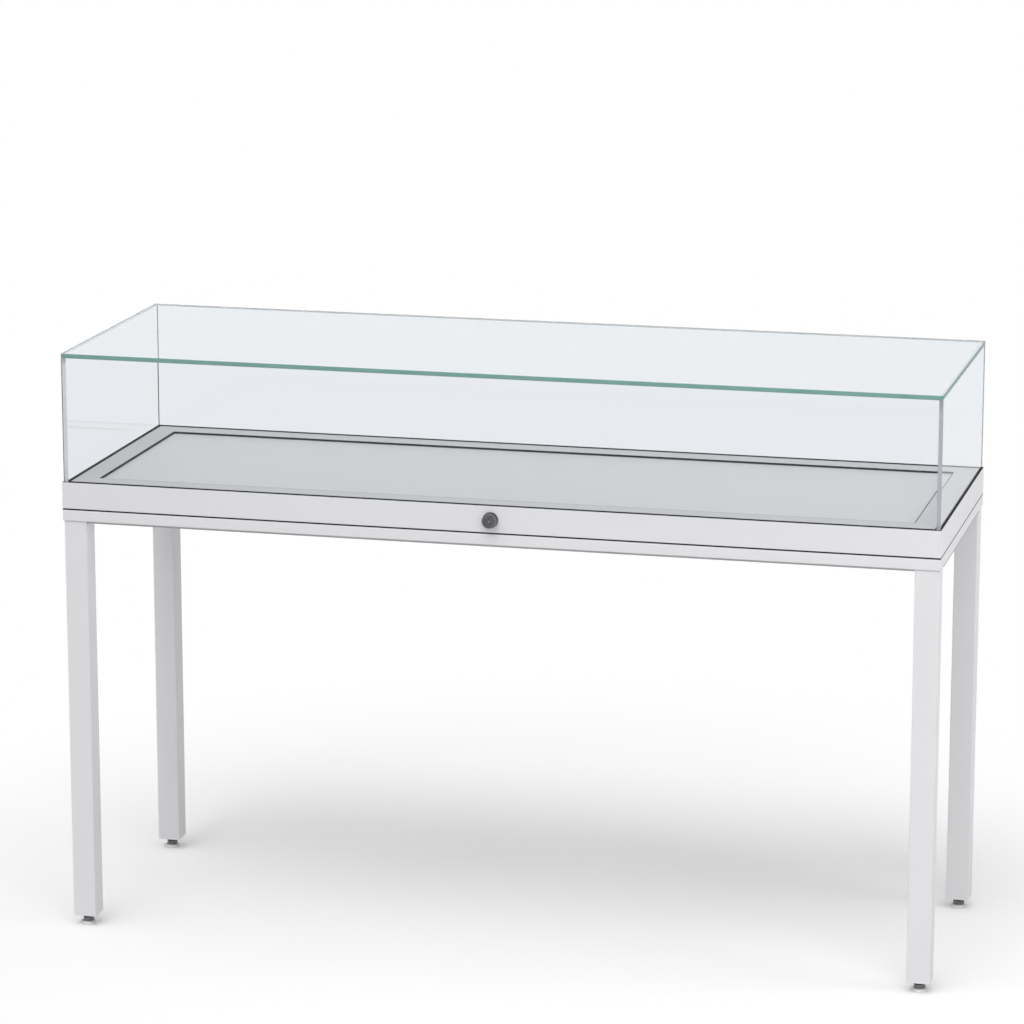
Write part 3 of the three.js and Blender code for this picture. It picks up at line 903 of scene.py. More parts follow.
@dataclass(frozen=True)
class Finishes:
    """Every finish of the case."""

    enamel: Finish = PowderCoat()
    # The same coat darkened to a light grey as painted shade, for the ledge inside the glass.
    enamel_painted_shade: Finish = PowderCoat("ledge_powder_coat_painted_shade", light="D0CFCE", shade="CCCBCA")
    laminate: Finish = Laminate()
    glass: Finish = FloatGlass()
    glass_edge: Finish = PolishedEdge()
    # The same polish at the ends of the top pane, its green darkened as painted shade, and with a
    # weaker gloss.
    painted_shade_side_edge: Finish = PolishedEdge(
        "polished_glass_end_edge_painted_shade", deep="2F6A60", pale="4A857B", specular=0.08
    )
    # The same polish on upright edges, which look through the pane at grey rather than green.
    upright_edge: Finish = PolishedEdge("polished_glass_upright_edge", deep="84888C", pale="A6A6AC")
    bonded_edge: Finish = BondedEdge()
    # The same ground edge painted nearly white as painted light, for faces taken to be turned to
    # the light.
    painted_light_bonded_edge: Finish = BondedEdge("painted_light_ground_glass_edge", pale="F4F5F4", shade="EAEBEA")
    # Extruded EPDM rubber: black, dull, with a faint dusty bloom.
    rubber: Finish = Solid(
        "extruded_epdm_rubber", light="1F2022", shade="131416", rough=(0.6, 0.75)
    )
    # Mid grey strip under the rails, put there as painted shade for the shaded lower edge of each
    # rail: an even mid grey, dull.
    painted_shade_strip: Finish = Solid("grey_strip_painted_shade", light="A4A4A7", shade="9A9A9D", rough=(0.5, 0.65))
    # Moulded polypropylene plug: black with a fine spark-eroded texture.
    plastic: Finish = Solid(
        "moulded_polypropylene", light="1C1D1E", shade="141516", rough=(0.45, 0.6)
    )
    # Moulded natural nylon: milky, slightly waxy.
    nylon: Finish = Solid("moulded_nylon", light="F4F4F2", shade="ECECEA", rough=(0.32, 0.45))
    # Bright zinc plate on steel: bluish, with soft patches of dullness.
    zinc: Finish = Solid(
        "bright_zinc_plate", light="C8CACD", shade="B3B6BA", rough=(0.22, 0.36),
        metallic=1.0, grain=2 * MM, grain_depth=0.004 * MM,
    )
    # Black zinc plate on steel, for the levelling studs: a dull dark grey.
    dark_zinc: Finish = Solid(
        "black_zinc_plate", light="7C7D80", shade="58595C", rough=(0.3, 0.45),
        metallic=1.0, grain=2 * MM, grain_depth=0.004 * MM,
    )
    # Dark nickel plate on a die-cast body: a deep warm grey mirror with fine polishing marks, whose
    # tone is mottled from pale to nearly black as painted reflections.
    nickel: Finish = Solid(
        "dark_nickel_plate_painted_reflections", light="86868A", shade="1E1E20", rough=(0.12, 0.24),
        metallic=1.0, grain=3 * MM, grain_depth=0.003 * MM,
    )
    # The same plate on the turned side of the same body, painted almost black as painted shade and
    # reflection, with bright flecks as painted glints.
    nickel_side_painted_shade: Finish = Solid(
        "lock_side_plate_painted_shade_and_glints", light="A0A0A4", shade="0C0C0E", rough=(0.1, 0.2),
        metallic=1.0, grain=3 * MM, grain_depth=0.003 * MM,
    )
    # Baked black lacquer on a steel tube: smooth and glossy.
    lacquer: Finish = Solid(
        "baked_black_lacquer", light="1B1C1E", shade="151618", rough=(0.22, 0.3)
    )
    # Hard chrome on a ground rod: a bright mirror with a very fine grain.
    chrome: Finish = Solid(
        "hard_chromed_rod", light="DADCDE", shade="CDD0D3", rough=(0.06, 0.12),
        metallic=1.0, grain=1 * MM, grain_depth=0.001 * MM,
    )


# ---- What every sub-assembly shares ----


@dataclass
class SubAssembly:
    """A group of pieces of the case that are modelled and dressed together."""

    finishes: Finishes
    made: list[bpy.types.Object] = field(default_factory=list, init=False)

    def dress(
        self,
        piece: bpy.types.Object,
        body: str,
        slot: Slot,
        finish: Finish,
        stands_for: Sequence[str] = (),
    ) -> bpy.types.Object:
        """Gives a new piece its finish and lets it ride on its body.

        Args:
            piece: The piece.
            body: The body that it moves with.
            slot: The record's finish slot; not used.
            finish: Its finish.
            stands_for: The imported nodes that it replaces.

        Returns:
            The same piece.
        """
        if not piece.data.materials:
            piece.data.materials.append(finish.material())
        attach(piece, body)
        if stands_for:
            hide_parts(*stands_for)
        self.made.append(piece)
        LOG.info("%s rides on %s", piece.name, body)
        return piece

    def dress_node(self, name: str, finish: Finish) -> None:
        """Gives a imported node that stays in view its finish.

        Args:
            name: The node's name.
            finish: Its finish.
        """
        node = frame["nodes"][name]
        for place_of_material in node.material_slots:
            place_of_material.material = finish.material()
        LOG.info("%s keeps its packed shape", name)


def body_of(node: str) -> str:
    """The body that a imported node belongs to."""
    groups = frame["record"]["behaviour"]["bodies"]
    return next(body for body, nodes in groups.items() if node in nodes)


def middle_of(node: str) -> Vector:
    """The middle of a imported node's box."""
    low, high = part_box(node)
    return (low + high) / 2


CASE_LOW, CASE_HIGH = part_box("hood_frame")
CASE_MIDDLE = (CASE_LOW + CASE_HIGH) / 2
CASE_HALF_X = (CASE_HIGH.x - CASE_LOW.x) / 2
CASE_HALF_Y = (CASE_HIGH.y - CASE_LOW.y) / 2


def frame_ring(name: str, profile: Profile) -> bpy.types.Object:
    """A closed ring all round the case.

    Args:
        name: The piece's name.
        profile: Its section as pairs of inset from the face of the case and height.

    Returns:
        The new piece.
    """
    stations = [Station(CASE_HALF_X - inset, CASE_HALF_Y - inset, z) for inset, z in profile]
    ring = loft(name, RECTANGLE_SIDES, stations, ring=True)
    return place(ring, (CASE_MIDDLE.x, CASE_MIDDLE.y, 0))


def inset_of(node: str) -> float:
    """How far inside the face of the case a packed ring starts."""
    low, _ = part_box(node)
    return low.x - CASE_LOW.x


# ---- Legs ----


@dataclass
class Legs(SubAssembly):
    """Four legs of square tube with a top plate, a bolt each and a threaded insert below."""

    wall: float = 2 * MM
    edge: float = 2 * MM
    edge_steps: int = 5
    plate: float = 5 * MM
    # The sawn ends turn by more than this, in degrees, and the tube's round edges by less.
    cut_angle: float = 60.0
    burr: float = 0.25 * MM

    def leg(self, name: str) -> bpy.types.Object:
        """One leg: a tube with rounded long edges, open below.

        Args:
            name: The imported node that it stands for.

        Returns:
            The new piece.
        """
        low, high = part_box(name)
        piece = block(f"{name}_tube", low, high)
        with editing(piece, "EDGE", along(Axis.Z)):
            bpy.ops.mesh.bevel(offset=self.edge, segments=self.edge_steps, affect="EDGES")
        bore = high.z - low.z - self.plate
        with editing(piece, "FACE", flat_at(Axis.Z, low.z)):
            bpy.ops.mesh.inset(thickness=self.wall)
            bpy.ops.mesh.extrude_region_move(TRANSFORM_OT_translate={"value": (0, 0, bore)})
        return ease_edges(piece, self.burr, steps=2, angle=self.cut_angle)

    def build(self) -> None:
        """Models one leg, copies it to the other corners and dresses all."""
        first_node = f"leg_{CORNERS[0]}"
        first = self.leg(first_node)
        for corner in CORNERS:
            node = f"leg_{corner}"
            move = Matrix.Translation(middle_of(node) - middle_of(first_node))
            piece = repeated(first, f"{node}_tube", move)
            self.dress(piece, "table", Slot.ENAMEL, self.finishes.enamel, [node])
            self.dress_node(f"leg_bolt_{corner}", self.finishes.zinc)
            self.dress_node(f"foot_insert_{corner}", self.finishes.plastic)


# ---- Levelling feet ----


@dataclass
class LevellingFeet(SubAssembly):
    """Four levelling feet: a nylon pad, and a stud with its hexagon and its lock nut."""

    pad_radius: float = 14 * MM
    pad_shoulder: float = 11 * MM
    pad_rim: float = 3.5 * MM
    pad_rounding: float = 0.5 * MM
    socket: float = 4.25 * MM
    socket_floor: float = 2 * MM
    neck: float = 4 * MM
    thread: float = 5 * MM
    thread_root: float = 4.2 * MM
    pitch: float = 1.5 * MM
    groove_radius: float = 7.5 * MM
    hexagon: float = 7 * MM
    groove: float = 0.75 * MM
    chamfer: float = 0.7 * MM

    def pad(self, name: str) -> bpy.types.Object:
        """The pad of one foot: a low disc with a sloping crown and a socket for the stud.

        Args:
            name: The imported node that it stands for.

        Returns:
            The new piece.
        """
        low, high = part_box(name)
        profile = [
            (self.socket, low.z + self.socket_floor),
            (self.socket, high.z),
            (self.pad_shoulder, high.z),
            (self.pad_radius, low.z + self.pad_rim),
            (self.pad_radius, low.z),
        ]
        piece = turned(f"{name}_disc", profile, ROUND_SIDES)
        middle = middle_of(name)
        place(piece, (middle.x, middle.y, 0))
        return ease_edges(piece, self.pad_rounding, angle=SHARP_FINEST)

    def stud(self, name: str, pad: str) -> bpy.types.Object:
        """The stud of one foot: neck, hexagon, lock nut and thread.

        Args:
            name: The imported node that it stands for.
            pad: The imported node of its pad.

        Returns:
            The new piece.
        """
        low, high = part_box(name)
        half_flats = (high.y - low.y) / 2
        corner = half_flats / math.cos(math.pi / HEXAGON_SIDES)
        hexagon_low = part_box(pad)[1].z + FIT
        hexagon_high = hexagon_low + self.hexagon
        nut_low = hexagon_high + self.groove
        nut_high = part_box("leg_" + name.removeprefix("foot_stud_"))[0].z - FIT
        hexagons = [
            hexagon("hexagon", corner, hexagon_low, hexagon_high, self.chamfer),
            hexagon("lock_nut", corner, nut_low, nut_high, self.chamfer),
        ]
        profile = [
            (self.neck, low.z),
            (self.neck, hexagon_low - OVERLAP),
            (self.groove_radius, hexagon_low - OVERLAP),
            (self.groove_radius, nut_high + OVERLAP),
            (self.thread_root, nut_high + OVERLAP),
            *thread_turns(nut_high, high.z, self.pitch, self.thread, self.thread_root),
            (self.thread_root, high.z),
        ]
        core = shade(turned("core", profile, ROUND_SIDES))
        whole = merged(f"{name}_screw", [core, *hexagons])
        middle = middle_of(name)
        return place(whole, (middle.x, middle.y, 0))

    def build(self) -> None:
        """Models one foot, copies it to the other corners and dresses all."""
        first_pad, first_stud = f"foot_pad_{CORNERS[0]}", f"foot_stud_{CORNERS[0]}"
        pad = self.pad(first_pad)
        stud = self.stud(first_stud, first_pad)
        for corner in CORNERS:
            pad_node, stud_node = f"foot_pad_{corner}", f"foot_stud_{corner}"
            move = Matrix.Translation(middle_of(pad_node) - middle_of(first_pad))
            disc = repeated(pad, f"{pad_node}_disc", move)
            screw = repeated(stud, f"{stud_node}_screw", move)
            self.dress(disc, body_of(pad_node), Slot.NYLON, self.finishes.nylon, [pad_node])
            self.dress(screw, body_of(stud_node), Slot.ZINC, self.finishes.dark_zinc, [stud_node])


# ---- Table frame ----


@dataclass
class TableFrame(SubAssembly):
    """A welded ring of flat tube with two cross rails, ground flush at its corners."""

    wall: float = 2 * MM
    edge: float = 2 * MM
    edge_steps: int = 4
    rail_width: float = 40 * MM
    bolt_inset: float = 22 * MM
    access: float = 12 * MM
    bolt_hole: float = 5.25 * MM
    # The grey strip under each rail is painted shade for the rail's shaded lower edge.
    shade_strip_inset: float = 0.6 * MM
    shade_strip_width: float = 6 * MM
    shade_strip_height: float = 2.2 * MM
    shade_strip_gap: float = 0.5 * MM

    def section(self, low: float, high: float, shell: float) -> list[tuple[float, float]]:
        """The ring's section, or the hollow in it.

        Args:
            low: The height of the frame's lower face.
            high: The height of its upper face.
            shell: How far inside the outer surface the section lies.

        Returns:
            Pairs of inset and height.
        """
        outer, inner = shell, self.rail_width - shell
        low, high = low + shell, high - shell
        return [(outer, low), (outer, high), (inner, high), (inner, low)]

    def ring(self) -> bpy.types.Object:
        """The welded ring, hollow, with holes over the legs for bolts and a spanner.

        Returns:
            The new piece.
        """
        low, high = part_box("front_rail")
        ring = frame_ring("table_frame_ring", self.section(low.z, high.z, 0))
        rounded(ring, self.edge, self.edge_steps)
        cut_away(ring, frame_ring("hollow", self.section(low.z, high.z, self.wall)))
        middle = (low.z + high.z) / 2
        access = (self.access, middle, high.z + self.wall)
        hole = (self.bolt_hole, low.z - self.wall, middle)
        for x in (CASE_LOW.x + self.bolt_inset, CASE_HIGH.x - self.bolt_inset):
            for y in (CASE_LOW.y + self.bolt_inset, CASE_HIGH.y - self.bolt_inset):
                for radius, start, end in (access, hole):
                    cutter = shaft("cutter", radius, start, end, ROUND_SIDES)
                    cut_away(ring, place(cutter, (x, y, 0)))
        return shade(ring)

    def painted_shade_strip(self, side: str) -> bpy.types.Object:
        """A grey strip under the lower edge of one rail, from leg to leg: painted shade for the
        rail's shaded rounded edge.

        Args:
            side: Which rail it lies under.

        Returns:
            The new piece.
        """
        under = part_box("front_rail")[0].z
        inner_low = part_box("leg_front_left")[1] + Vector((1, 1, 0)) * self.shade_strip_gap
        inner_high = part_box("leg_rear_right")[0] - Vector((1, 1, 0)) * self.shade_strip_gap
        near, far = self.shade_strip_inset, self.shade_strip_inset + self.shade_strip_width
        spans = {
            "front": (inner_low.x, CASE_LOW.y + near, inner_high.x, CASE_LOW.y + far),
            "rear": (inner_low.x, CASE_HIGH.y - far, inner_high.x, CASE_HIGH.y - near),
            "left": (CASE_LOW.x + near, inner_low.y, CASE_LOW.x + far, inner_high.y),
            "right": (CASE_HIGH.x - far, inner_low.y, CASE_HIGH.x - near, inner_high.y),
        }
        x_low, y_low, x_high, y_high = spans[side]
        top = under - TOUCHING
        strip = block(
            f"rail_painted_shade_strip_{side}", (x_low, y_low, top - self.shade_strip_height), (x_high, y_high, top)
        )
        return ease_edges(strip, self.shade_strip_gap)

    def build(self) -> None:
        """Models the ring, the grey strips of painted shade under it and the cross rails and
        dresses them.
        """
        rails = ["front_rail", "right_rail", "rear_rail", "left_rail"]
        self.dress(self.ring(), "table", Slot.ENAMEL, self.finishes.enamel, rails)
        for side in ("front", "rear", *HANDS):
            self.dress(self.painted_shade_strip(side), "table", Slot.NYLON, self.finishes.painted_shade_strip)
        for hand in HANDS:
            node = f"cross_rail_{hand}"
            piece = block(f"{node}_tube", *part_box(node))
            with editing(piece, "EDGE", along(Axis.Y)):
                bpy.ops.mesh.bevel(offset=self.edge, segments=self.edge_steps, affect="EDGES")
            shade(piece)
            self.dress(piece, "table", Slot.ENAMEL, self.finishes.enamel, [node])


# ---- Deck ----


@dataclass
class Deck(SubAssembly):
    """The folded tray that carries the display panel, the panel and the two seals."""

    sheet: float = 1.5 * MM
    bend: float = 2.5 * MM
    bend_steps: int = 4
    foot: float = 15 * MM
    board_edge: float = 0.6 * MM
    frame_seal_width: float = 11 * MM
    frame_seal_edge: float = 0.1 * MM
    deck_seal_edge: float = 0.3 * MM
    nose_inset: float = 0.4 * MM
    nose_drop: float = 0.9 * MM
    ledge_inset: float = 50 * MM
    lip_gap: float = 0.4 * MM
    lip_drop: float = 0.2 * MM
    lip_thickness: float = 1.2 * MM

    def tray(self) -> bpy.types.Object:
        """The tray: an upturned pan with a foot flange turned inwards.

        Returns:
            The new piece.
        """
        low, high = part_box("deck_tray")
        piece = block("deck_tray_pan", low, high)
        with editing(piece, "FACE", flat_at(Axis.Z, low.z)):
            bpy.ops.mesh.inset(thickness=self.foot)
            bpy.ops.mesh.delete(type="FACE")
        rounded(piece, self.bend, self.bend_steps)
        apply_modifier(piece, "SOLIDIFY", thickness=self.sheet, offset=-1.0, use_even_offset=True)
        return shade(piece)

    def deck_seal(self) -> bpy.types.Object:
        """The seal under the ledge, with a lip that stands up along the ledge's cut edge.

        Returns:
            The new piece.
        """
        low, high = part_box("deck_seal")
        outer = inset_of("deck_seal")
        near = self.ledge_inset + self.lip_gap
        far = near + self.lip_thickness
        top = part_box("hood_ledge")[1].z - self.lip_drop
        profile = [
            (outer, low.z),
            (outer, high.z),
            (near, high.z),
            (near, top),
            (far, top),
            (far, low.z),
        ]
        return ease_edges(frame_ring("deck_seal_strip", profile), self.deck_seal_edge)

    def frame_seal(self) -> bpy.types.Object:
        """The seal between the two frames, with a nose that lies over the rail's rounded edge.

        Returns:
            The new piece.
        """
        low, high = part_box("frame_seal")
        outer = inset_of("frame_seal")
        inner = outer + self.frame_seal_width
        profile = [
            (self.nose_inset, low.z - self.nose_drop),
            (self.nose_inset, high.z),
            (inner, high.z),
            (inner, low.z),
            (outer, low.z),
        ]
        return ease_edges(frame_ring("frame_seal_strip", profile), self.frame_seal_edge, steps=1)

    def build(self) -> None:
        """Models the tray, the panel and the seals and dresses them."""
        self.dress(self.tray(), "table", Slot.ENAMEL, self.finishes.enamel, ["deck_tray"])
        board = block("display_panel_board", *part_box("display_panel"))
        ease_edges(board, self.board_edge, steps=2)
        self.dress(board, "table", Slot.LAMINATE, self.finishes.laminate, ["display_panel"])
        for seal, node in ((self.deck_seal(), "deck_seal"), (self.frame_seal(), "frame_seal")):
            self.dress(seal, "table", Slot.RUBBER, self.finishes.rubber, [node])


# ---- Hood frame ----


@dataclass
class HoodFrame(SubAssembly):
    """The folded hood frame, the ledge inside it and the rubber channel between them."""

    sheet: float = 1.5 * MM
    flange: float = 15 * MM
    sheet_edge: float = 0.35 * MM
    border: float = 50 * MM
    channel_wall: float = 0.9 * MM
    roll_out: float = 1.1 * MM
    roll_in: float = 2 * MM
    # What the rubber leaves to the glass and the ledge, and to the top of the frame.
    rubber_play: float = 0.05 * MM
    rubber_lift: float = 0.02 * MM
    rubber_edge: float = 0.15 * MM
    lock_hole: float = 9.25 * MM

    def outer(self) -> bpy.types.Object:
        """The outer frame: wall, bottom flange and the shelf under the glass.

        Returns:
            The new piece.
        """
        low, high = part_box("hood_frame")
        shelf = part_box("hood_ledge")[0].z - FIT
        inner = inset_of("hood_ledge") + self.sheet
        wall = self.sheet
        profile = [
            (0, high.z),
            (0, low.z),
            (self.flange, low.z),
            (self.flange, low.z + wall),
            (wall, low.z + wall),
            (wall, shelf - wall),
            (inner, shelf - wall),
            (inner, shelf),
            (wall, shelf),
            (wall, high.z),
        ]
        piece = frame_ring("hood_frame_sheet", profile)
        ease_edges(piece, self.sheet_edge)
        middle = middle_of("lock_body")
        cutter = shaft("cutter", self.lock_hole, -self.flange, self.flange, ROUND_SIDES)
        cut_away(piece, place(cutter, (middle.x, CASE_LOW.y, middle.z), FORWARDS))
        return shade(piece)

    def ledge(self) -> bpy.types.Object:
        """The ledge: a folded angle whose upright stands on the shelf.

        Returns:
            The new piece.
        """
        low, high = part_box("hood_ledge")
        outer = inset_of("hood_ledge")
        profile = [
            (outer, low.z),
            (outer, high.z),
            (self.border, high.z),
            (self.border, high.z - self.sheet),
            (outer + self.sheet, high.z - self.sheet),
            (outer + self.sheet, low.z),
        ]
        return ease_edges(frame_ring("hood_ledge_sheet", profile), self.sheet_edge)

    def gasket(self) -> bpy.types.Object:
        """The glazing gasket: a rubber channel whose two lips lie over the sheet on either side.

        Returns:
            The new piece.
        """
        low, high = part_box("glazing_gasket")
        outer = inset_of("glazing_gasket")
        inner = inset_of("hood_ledge") - self.rubber_play
        channel_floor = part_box("glass_front")[0].z - self.rubber_play
        channel_outer = inset_of("glass_front") - self.rubber_play
        channel_inner = inner - self.channel_wall
        frame_top = CASE_HIGH.z - self.rubber_lift
        profile = [
            (outer, low.z),
            (outer, frame_top),
            (outer - self.roll_out, frame_top),
            (outer - self.roll_out, high.z),
            (channel_outer, high.z),
            (channel_outer, channel_floor),
            (channel_inner, channel_floor),
            (channel_inner, high.z),
            (inner + self.roll_in, high.z),
            (inner + self.roll_in, frame_top),
            (inner, frame_top),
            (inner, low.z),
        ]
        channel = frame_ring("glazing_gasket_channel", profile)
        return ease_edges(channel, self.rubber_edge, steps=2)

    def build(self) -> None:
        """Models the three rings and dresses them."""
        enamel = self.finishes.enamel
        self.dress(self.outer(), "hood", Slot.ENAMEL, enamel, ["hood_frame"])
        # The ledge takes the enamel darkened to grey as painted shade.
        grey = self.finishes.enamel_painted_shade
        self.dress(self.ledge(), "hood", Slot.ENAMEL, grey, ["hood_ledge"])
        rubber = self.finishes.rubber
        self.dress(self.gasket(), "hood", Slot.RUBBER, rubber, ["glazing_gasket"])


# ---- Glass ----


@dataclass
class GlassHood(SubAssembly):
    """Five panes of laminated glass with polished edges, bonded edge to face."""

    arris: float = 0.5 * MM

    def face_finish(self, side: str, across: Axis, normal: Vector) -> Finish:
        """The finish of one face of a pane.

        Args:
            side: Which pane it is.
            across: The axis that the pane is thin along.
            normal: The way that the face looks.

        Returns:
            The finish.
        """
        x, _, z = (abs(value) for value in normal)
        if abs(normal[across.value]) > FACES_ALONG:
            return self.finishes.glass
        if across is Axis.Z:
            # The ends of the top pane take the green darkened as painted shade.
            return self.finishes.painted_shade_side_edge if x > LEANS_TO else self.finishes.glass_edge
        if side == "left" or (side == "right" and z > LEANS_TO):
            # Edges of the left pane, and the level edges of the right pane, get the near-white
            # painted light.
            return self.finishes.painted_light_bonded_edge
        if side == "right" or z > FACES_ALONG:
            return self.finishes.bonded_edge
        return self.finishes.glass_edge if z > LEANS_TO else self.finishes.upright_edge

    def pane(self, side: str) -> bpy.types.Object:
        """One pane with its edges arrissed, and each face given its finish.

        Args:
            side: Which pane it is.

        Returns:
            The new piece.
        """
        low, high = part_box(f"glass_{side}")
        piece = block(f"glass_{side}_pane", low, high)
        apply_modifier(piece, "BEVEL", width=self.arris, segments=1, limit_method="NONE")
        size = high - low
        across = min(Axis, key=lambda axis: size[axis.value])
        used: list[Finish] = []
        for polygon in piece.data.polygons:
            finish = self.face_finish(side, across, polygon.normal)
            if finish not in used:
                used.append(finish)
                piece.data.materials.append(finish.material())
            polygon.material_index = used.index(finish)
        return piece

    def build(self) -> None:
        """Models the five panes and dresses them."""
        for side in ("top", "front", "rear", *HANDS):
            node = f"glass_{side}"
            self.dress(self.pane(side), "hood", Slot.GLASS, self.finishes.glass, [node])


# ---- Lock ----


@dataclass
class CamLock(SubAssembly):
    """A key lock through the front of the hood frame, its cam, and the strike for the cam."""

    sides: int = 64
    # The roundings of fine edges and of coarse ones.
    fine: float = 0.3 * MM
    coarse: float = 0.4 * MM
    head: float = 12 * MM
    bezel: float = 1.7 * MM
    bezel_inner: float = 9 * MM
    recess: float = 1 * MM
    # Faces of the body whose share along the lock's axis is less than this are its side, which
    # takes the painted shade.
    side_share: float = 0.6
    flange: float = 2 * MM
    thread: float = 9 * MM
    thread_root: float = 8.4 * MM
    pitch: float = 1 * MM
    bore: float = 6.1 * MM
    plug_radius: float = 6 * MM
    # The ring groove in the plug's face: where it starts, and how far out its corners lie.
    plug_groove: float = 4.6 * MM
    groove_widths: Triple = (0.2 * MM, 0.5 * MM, 0.7 * MM)
    groove_depth: float = 0.25 * MM
    keyway: Triple = (1.5 * MM, 4 * MM, 7 * MM)
    shutter: Triple = (1.46 * MM, 1 * MM, 3 * MM)
    shutter_depth: float = 0.35 * MM
    tang: float = 7 * MM
    nut_chamfer: float = 0.8 * MM
    cam_hub: float = 6.5 * MM
    cam_half: float = 5.5 * MM
    cam_steps: int = 12
    cam_edge: float = 0.25 * MM
    screw_rim: float = 0.5 * MM
    screw_socket: float = 1.7 * MM
    strike_sheet: float = 2 * MM
    strike_foot: float = 12 * MM
    strike_lip: float = 10 * MM

    def outwards(self, piece: bpy.types.Object) -> bpy.types.Object:
        """Puts a shape drawn up the Z axis on the lock's axis, with zero at the case's face."""
        middle = middle_of("lock_body")
        return place(piece, (middle.x, CASE_LOW.y, middle.z), FORWARDS)

    def depths(self, node: str) -> Span:
        """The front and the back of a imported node, from the case's face outwards."""
        low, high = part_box(node)
        return CASE_LOW.y - low.y, CASE_LOW.y - high.y

    def body(self) -> bpy.types.Object:
        """The body: a head with a rounded bezel, a flange and a threaded barrel.

        Returns:
            The new piece.
        """
        low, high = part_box("lock_body")
        front, back = self.depths("lock_body")
        flange_radius = (high.x - low.x) / 2
        floor = front - self.recess
        bezel_top = (self.bezel_inner + self.head) / 2
        turns = thread_turns(back, FIT, self.pitch, self.thread, self.thread_root)
        profile = [
            (self.bezel_inner, floor),
            (self.bezel_inner, front - self.fine),
            (self.bezel_inner + self.coarse, front),
            (bezel_top, front),
            (self.head - self.fine, front - self.bezel / 2),
            (self.head, front - self.bezel),
            (self.head, FIT + self.flange),
            (flange_radius, FIT + self.flange / 2),
            (flange_radius, FIT),
            (self.thread_root, FIT),
            *reversed(turns),
            (self.thread_root, back),
            (self.bore, back),
            (self.bore, floor),
        ]
        piece = turned("lock_body_casting", profile, self.sides, ring=True)
        shade(self.outwards(piece), SHARP_FINE)
        # The head's turned side takes the near-black painted shade with painted glints, the rest
        # the mottled painted reflections.
        for finish in (self.finishes.nickel, self.finishes.nickel_side_painted_shade):
            piece.data.materials.append(finish.material())
        for polygon in piece.data.polygons:
            on_side = abs(polygon.normal.y) < self.side_share
            in_front = polygon.center.y < CASE_LOW.y - self.flange
            polygon.material_index = int(on_side and in_front)
        return piece

    def plug(self) -> bpy.types.Object:
        """The turning plug with its keyway in front and its square tang behind.

        Returns:
            The new piece.
        """
        front, back = self.depths("lock_plug")
        shoulder = self.depths("lock_cam")[0] + FIT
        floor = front - self.groove_depth
        rising, falling, outer = (self.plug_groove + width for width in self.groove_widths)
        profile = [
            (self.plug_groove, front),
            (rising, floor),
            (falling, floor),
            (outer, front),
            (self.plug_radius - self.fine, front),
            (self.plug_radius, front - self.fine),
            (self.plug_radius, shoulder),
        ]
        barrel = self.outwards(turned("lock_plug_barrel", profile, self.sides))
        middle = middle_of("lock_body")
        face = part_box("lock_plug")[0].y
        width, depth, height = self.keyway
        slot = block(
            "keyway",
            (middle.x - width / 2, face - depth, middle.z - height / 2),
            (middle.x + width / 2, face + depth, middle.z + height / 2),
        )
        cut_away(barrel, slot)
        shade(barrel, SHARP_FINE)
        half = self.tang / 2
        ends = [Station(half, half, height) for height in (back, shoulder + FIT)]
        square = self.outwards(loft("tang", RECTANGLE_SIDES, ends))
        return merged("lock_plug_barrel", [barrel, ease_edges(square, self.fine)])

    def key_shutter(self) -> bpy.types.Object:
        """The spring shutter that shows in the keyway.

        Returns:
            The new piece.
        """
        middle = middle_of("lock_body")
        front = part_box("lock_plug")[0].y + self.shutter_depth
        width, depth, height = self.shutter
        piece = block(
            "lock_key_shutter",
            (middle.x - width / 2, front, middle.z - height / 2),
            (middle.x + width / 2, front + depth, middle.z + height / 2),
        )
        return ease_edges(piece, self.fine)

    def nut(self) -> bpy.types.Object:
        """The hexagonal nut behind the sheet.

        Returns:
            The new piece.
        """
        low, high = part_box("lock_nut")
        corner = (high.z - low.z) / 2 / math.cos(math.pi / HEXAGON_SIDES)
        front, back = self.depths("lock_nut")
        piece = hexagon("lock_nut_hexagon", corner, back, front, self.nut_chamfer)
        hole = self.thread + FIT
        cut_away(piece, shaft("cutter", hole, back - hole, front + hole, self.sides))
        return shade(self.outwards(piece))

    def cam(self) -> bpy.types.Object:
        """The cam: a flat bar with a rounded tip, on a round hub.

        Returns:
            The new piece.
        """
        low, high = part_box("lock_cam")
        middle = middle_of("lock_body")
        front, back = self.depths("lock_cam")
        half = self.cam_half
        start, end = (middle.x - half, low.y, low.z), (middle.x + half, high.y, middle.z)
        bar = block("lock_cam_bar", start, end)
        tip = flat_at(Axis.Z, low.z)
        with editing(bar, "EDGE", lambda points: along(Axis.Y)(points) and tip(points)):
            bpy.ops.mesh.bevel(offset=half - TOUCHING, segments=self.cam_steps, affect="EDGES")
        hub = self.outwards(shaft("hub", self.cam_hub, back, front, self.sides))
        parts = [ease_edges(part, self.cam_edge, steps=2) for part in (bar, hub)]
        return merged("lock_cam_bar", parts)

    def cam_screw(self) -> bpy.types.Object:
        """The head of the screw that holds the cam, with its hexagon socket.

        Returns:
            The new piece.
        """
        low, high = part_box("lock_cam_screw")
        front, back = self.depths("lock_cam_screw")
        radius = (high.x - low.x) / 2
        seat = self.depths("lock_cam")[1] - FIT
        profile = [
            (radius - self.coarse, back),
            (radius, back + self.screw_rim),
            (radius, seat),
            (radius / 2, seat),
            (radius / 2, front),
        ]
        piece = turned("lock_cam_screw_head", profile, self.sides)
        width = self.screw_socket
        cut_away(piece, shaft("cutter", width, back - self.tang, back + width, HEXAGON_SIDES))
        return shade(self.outwards(piece))

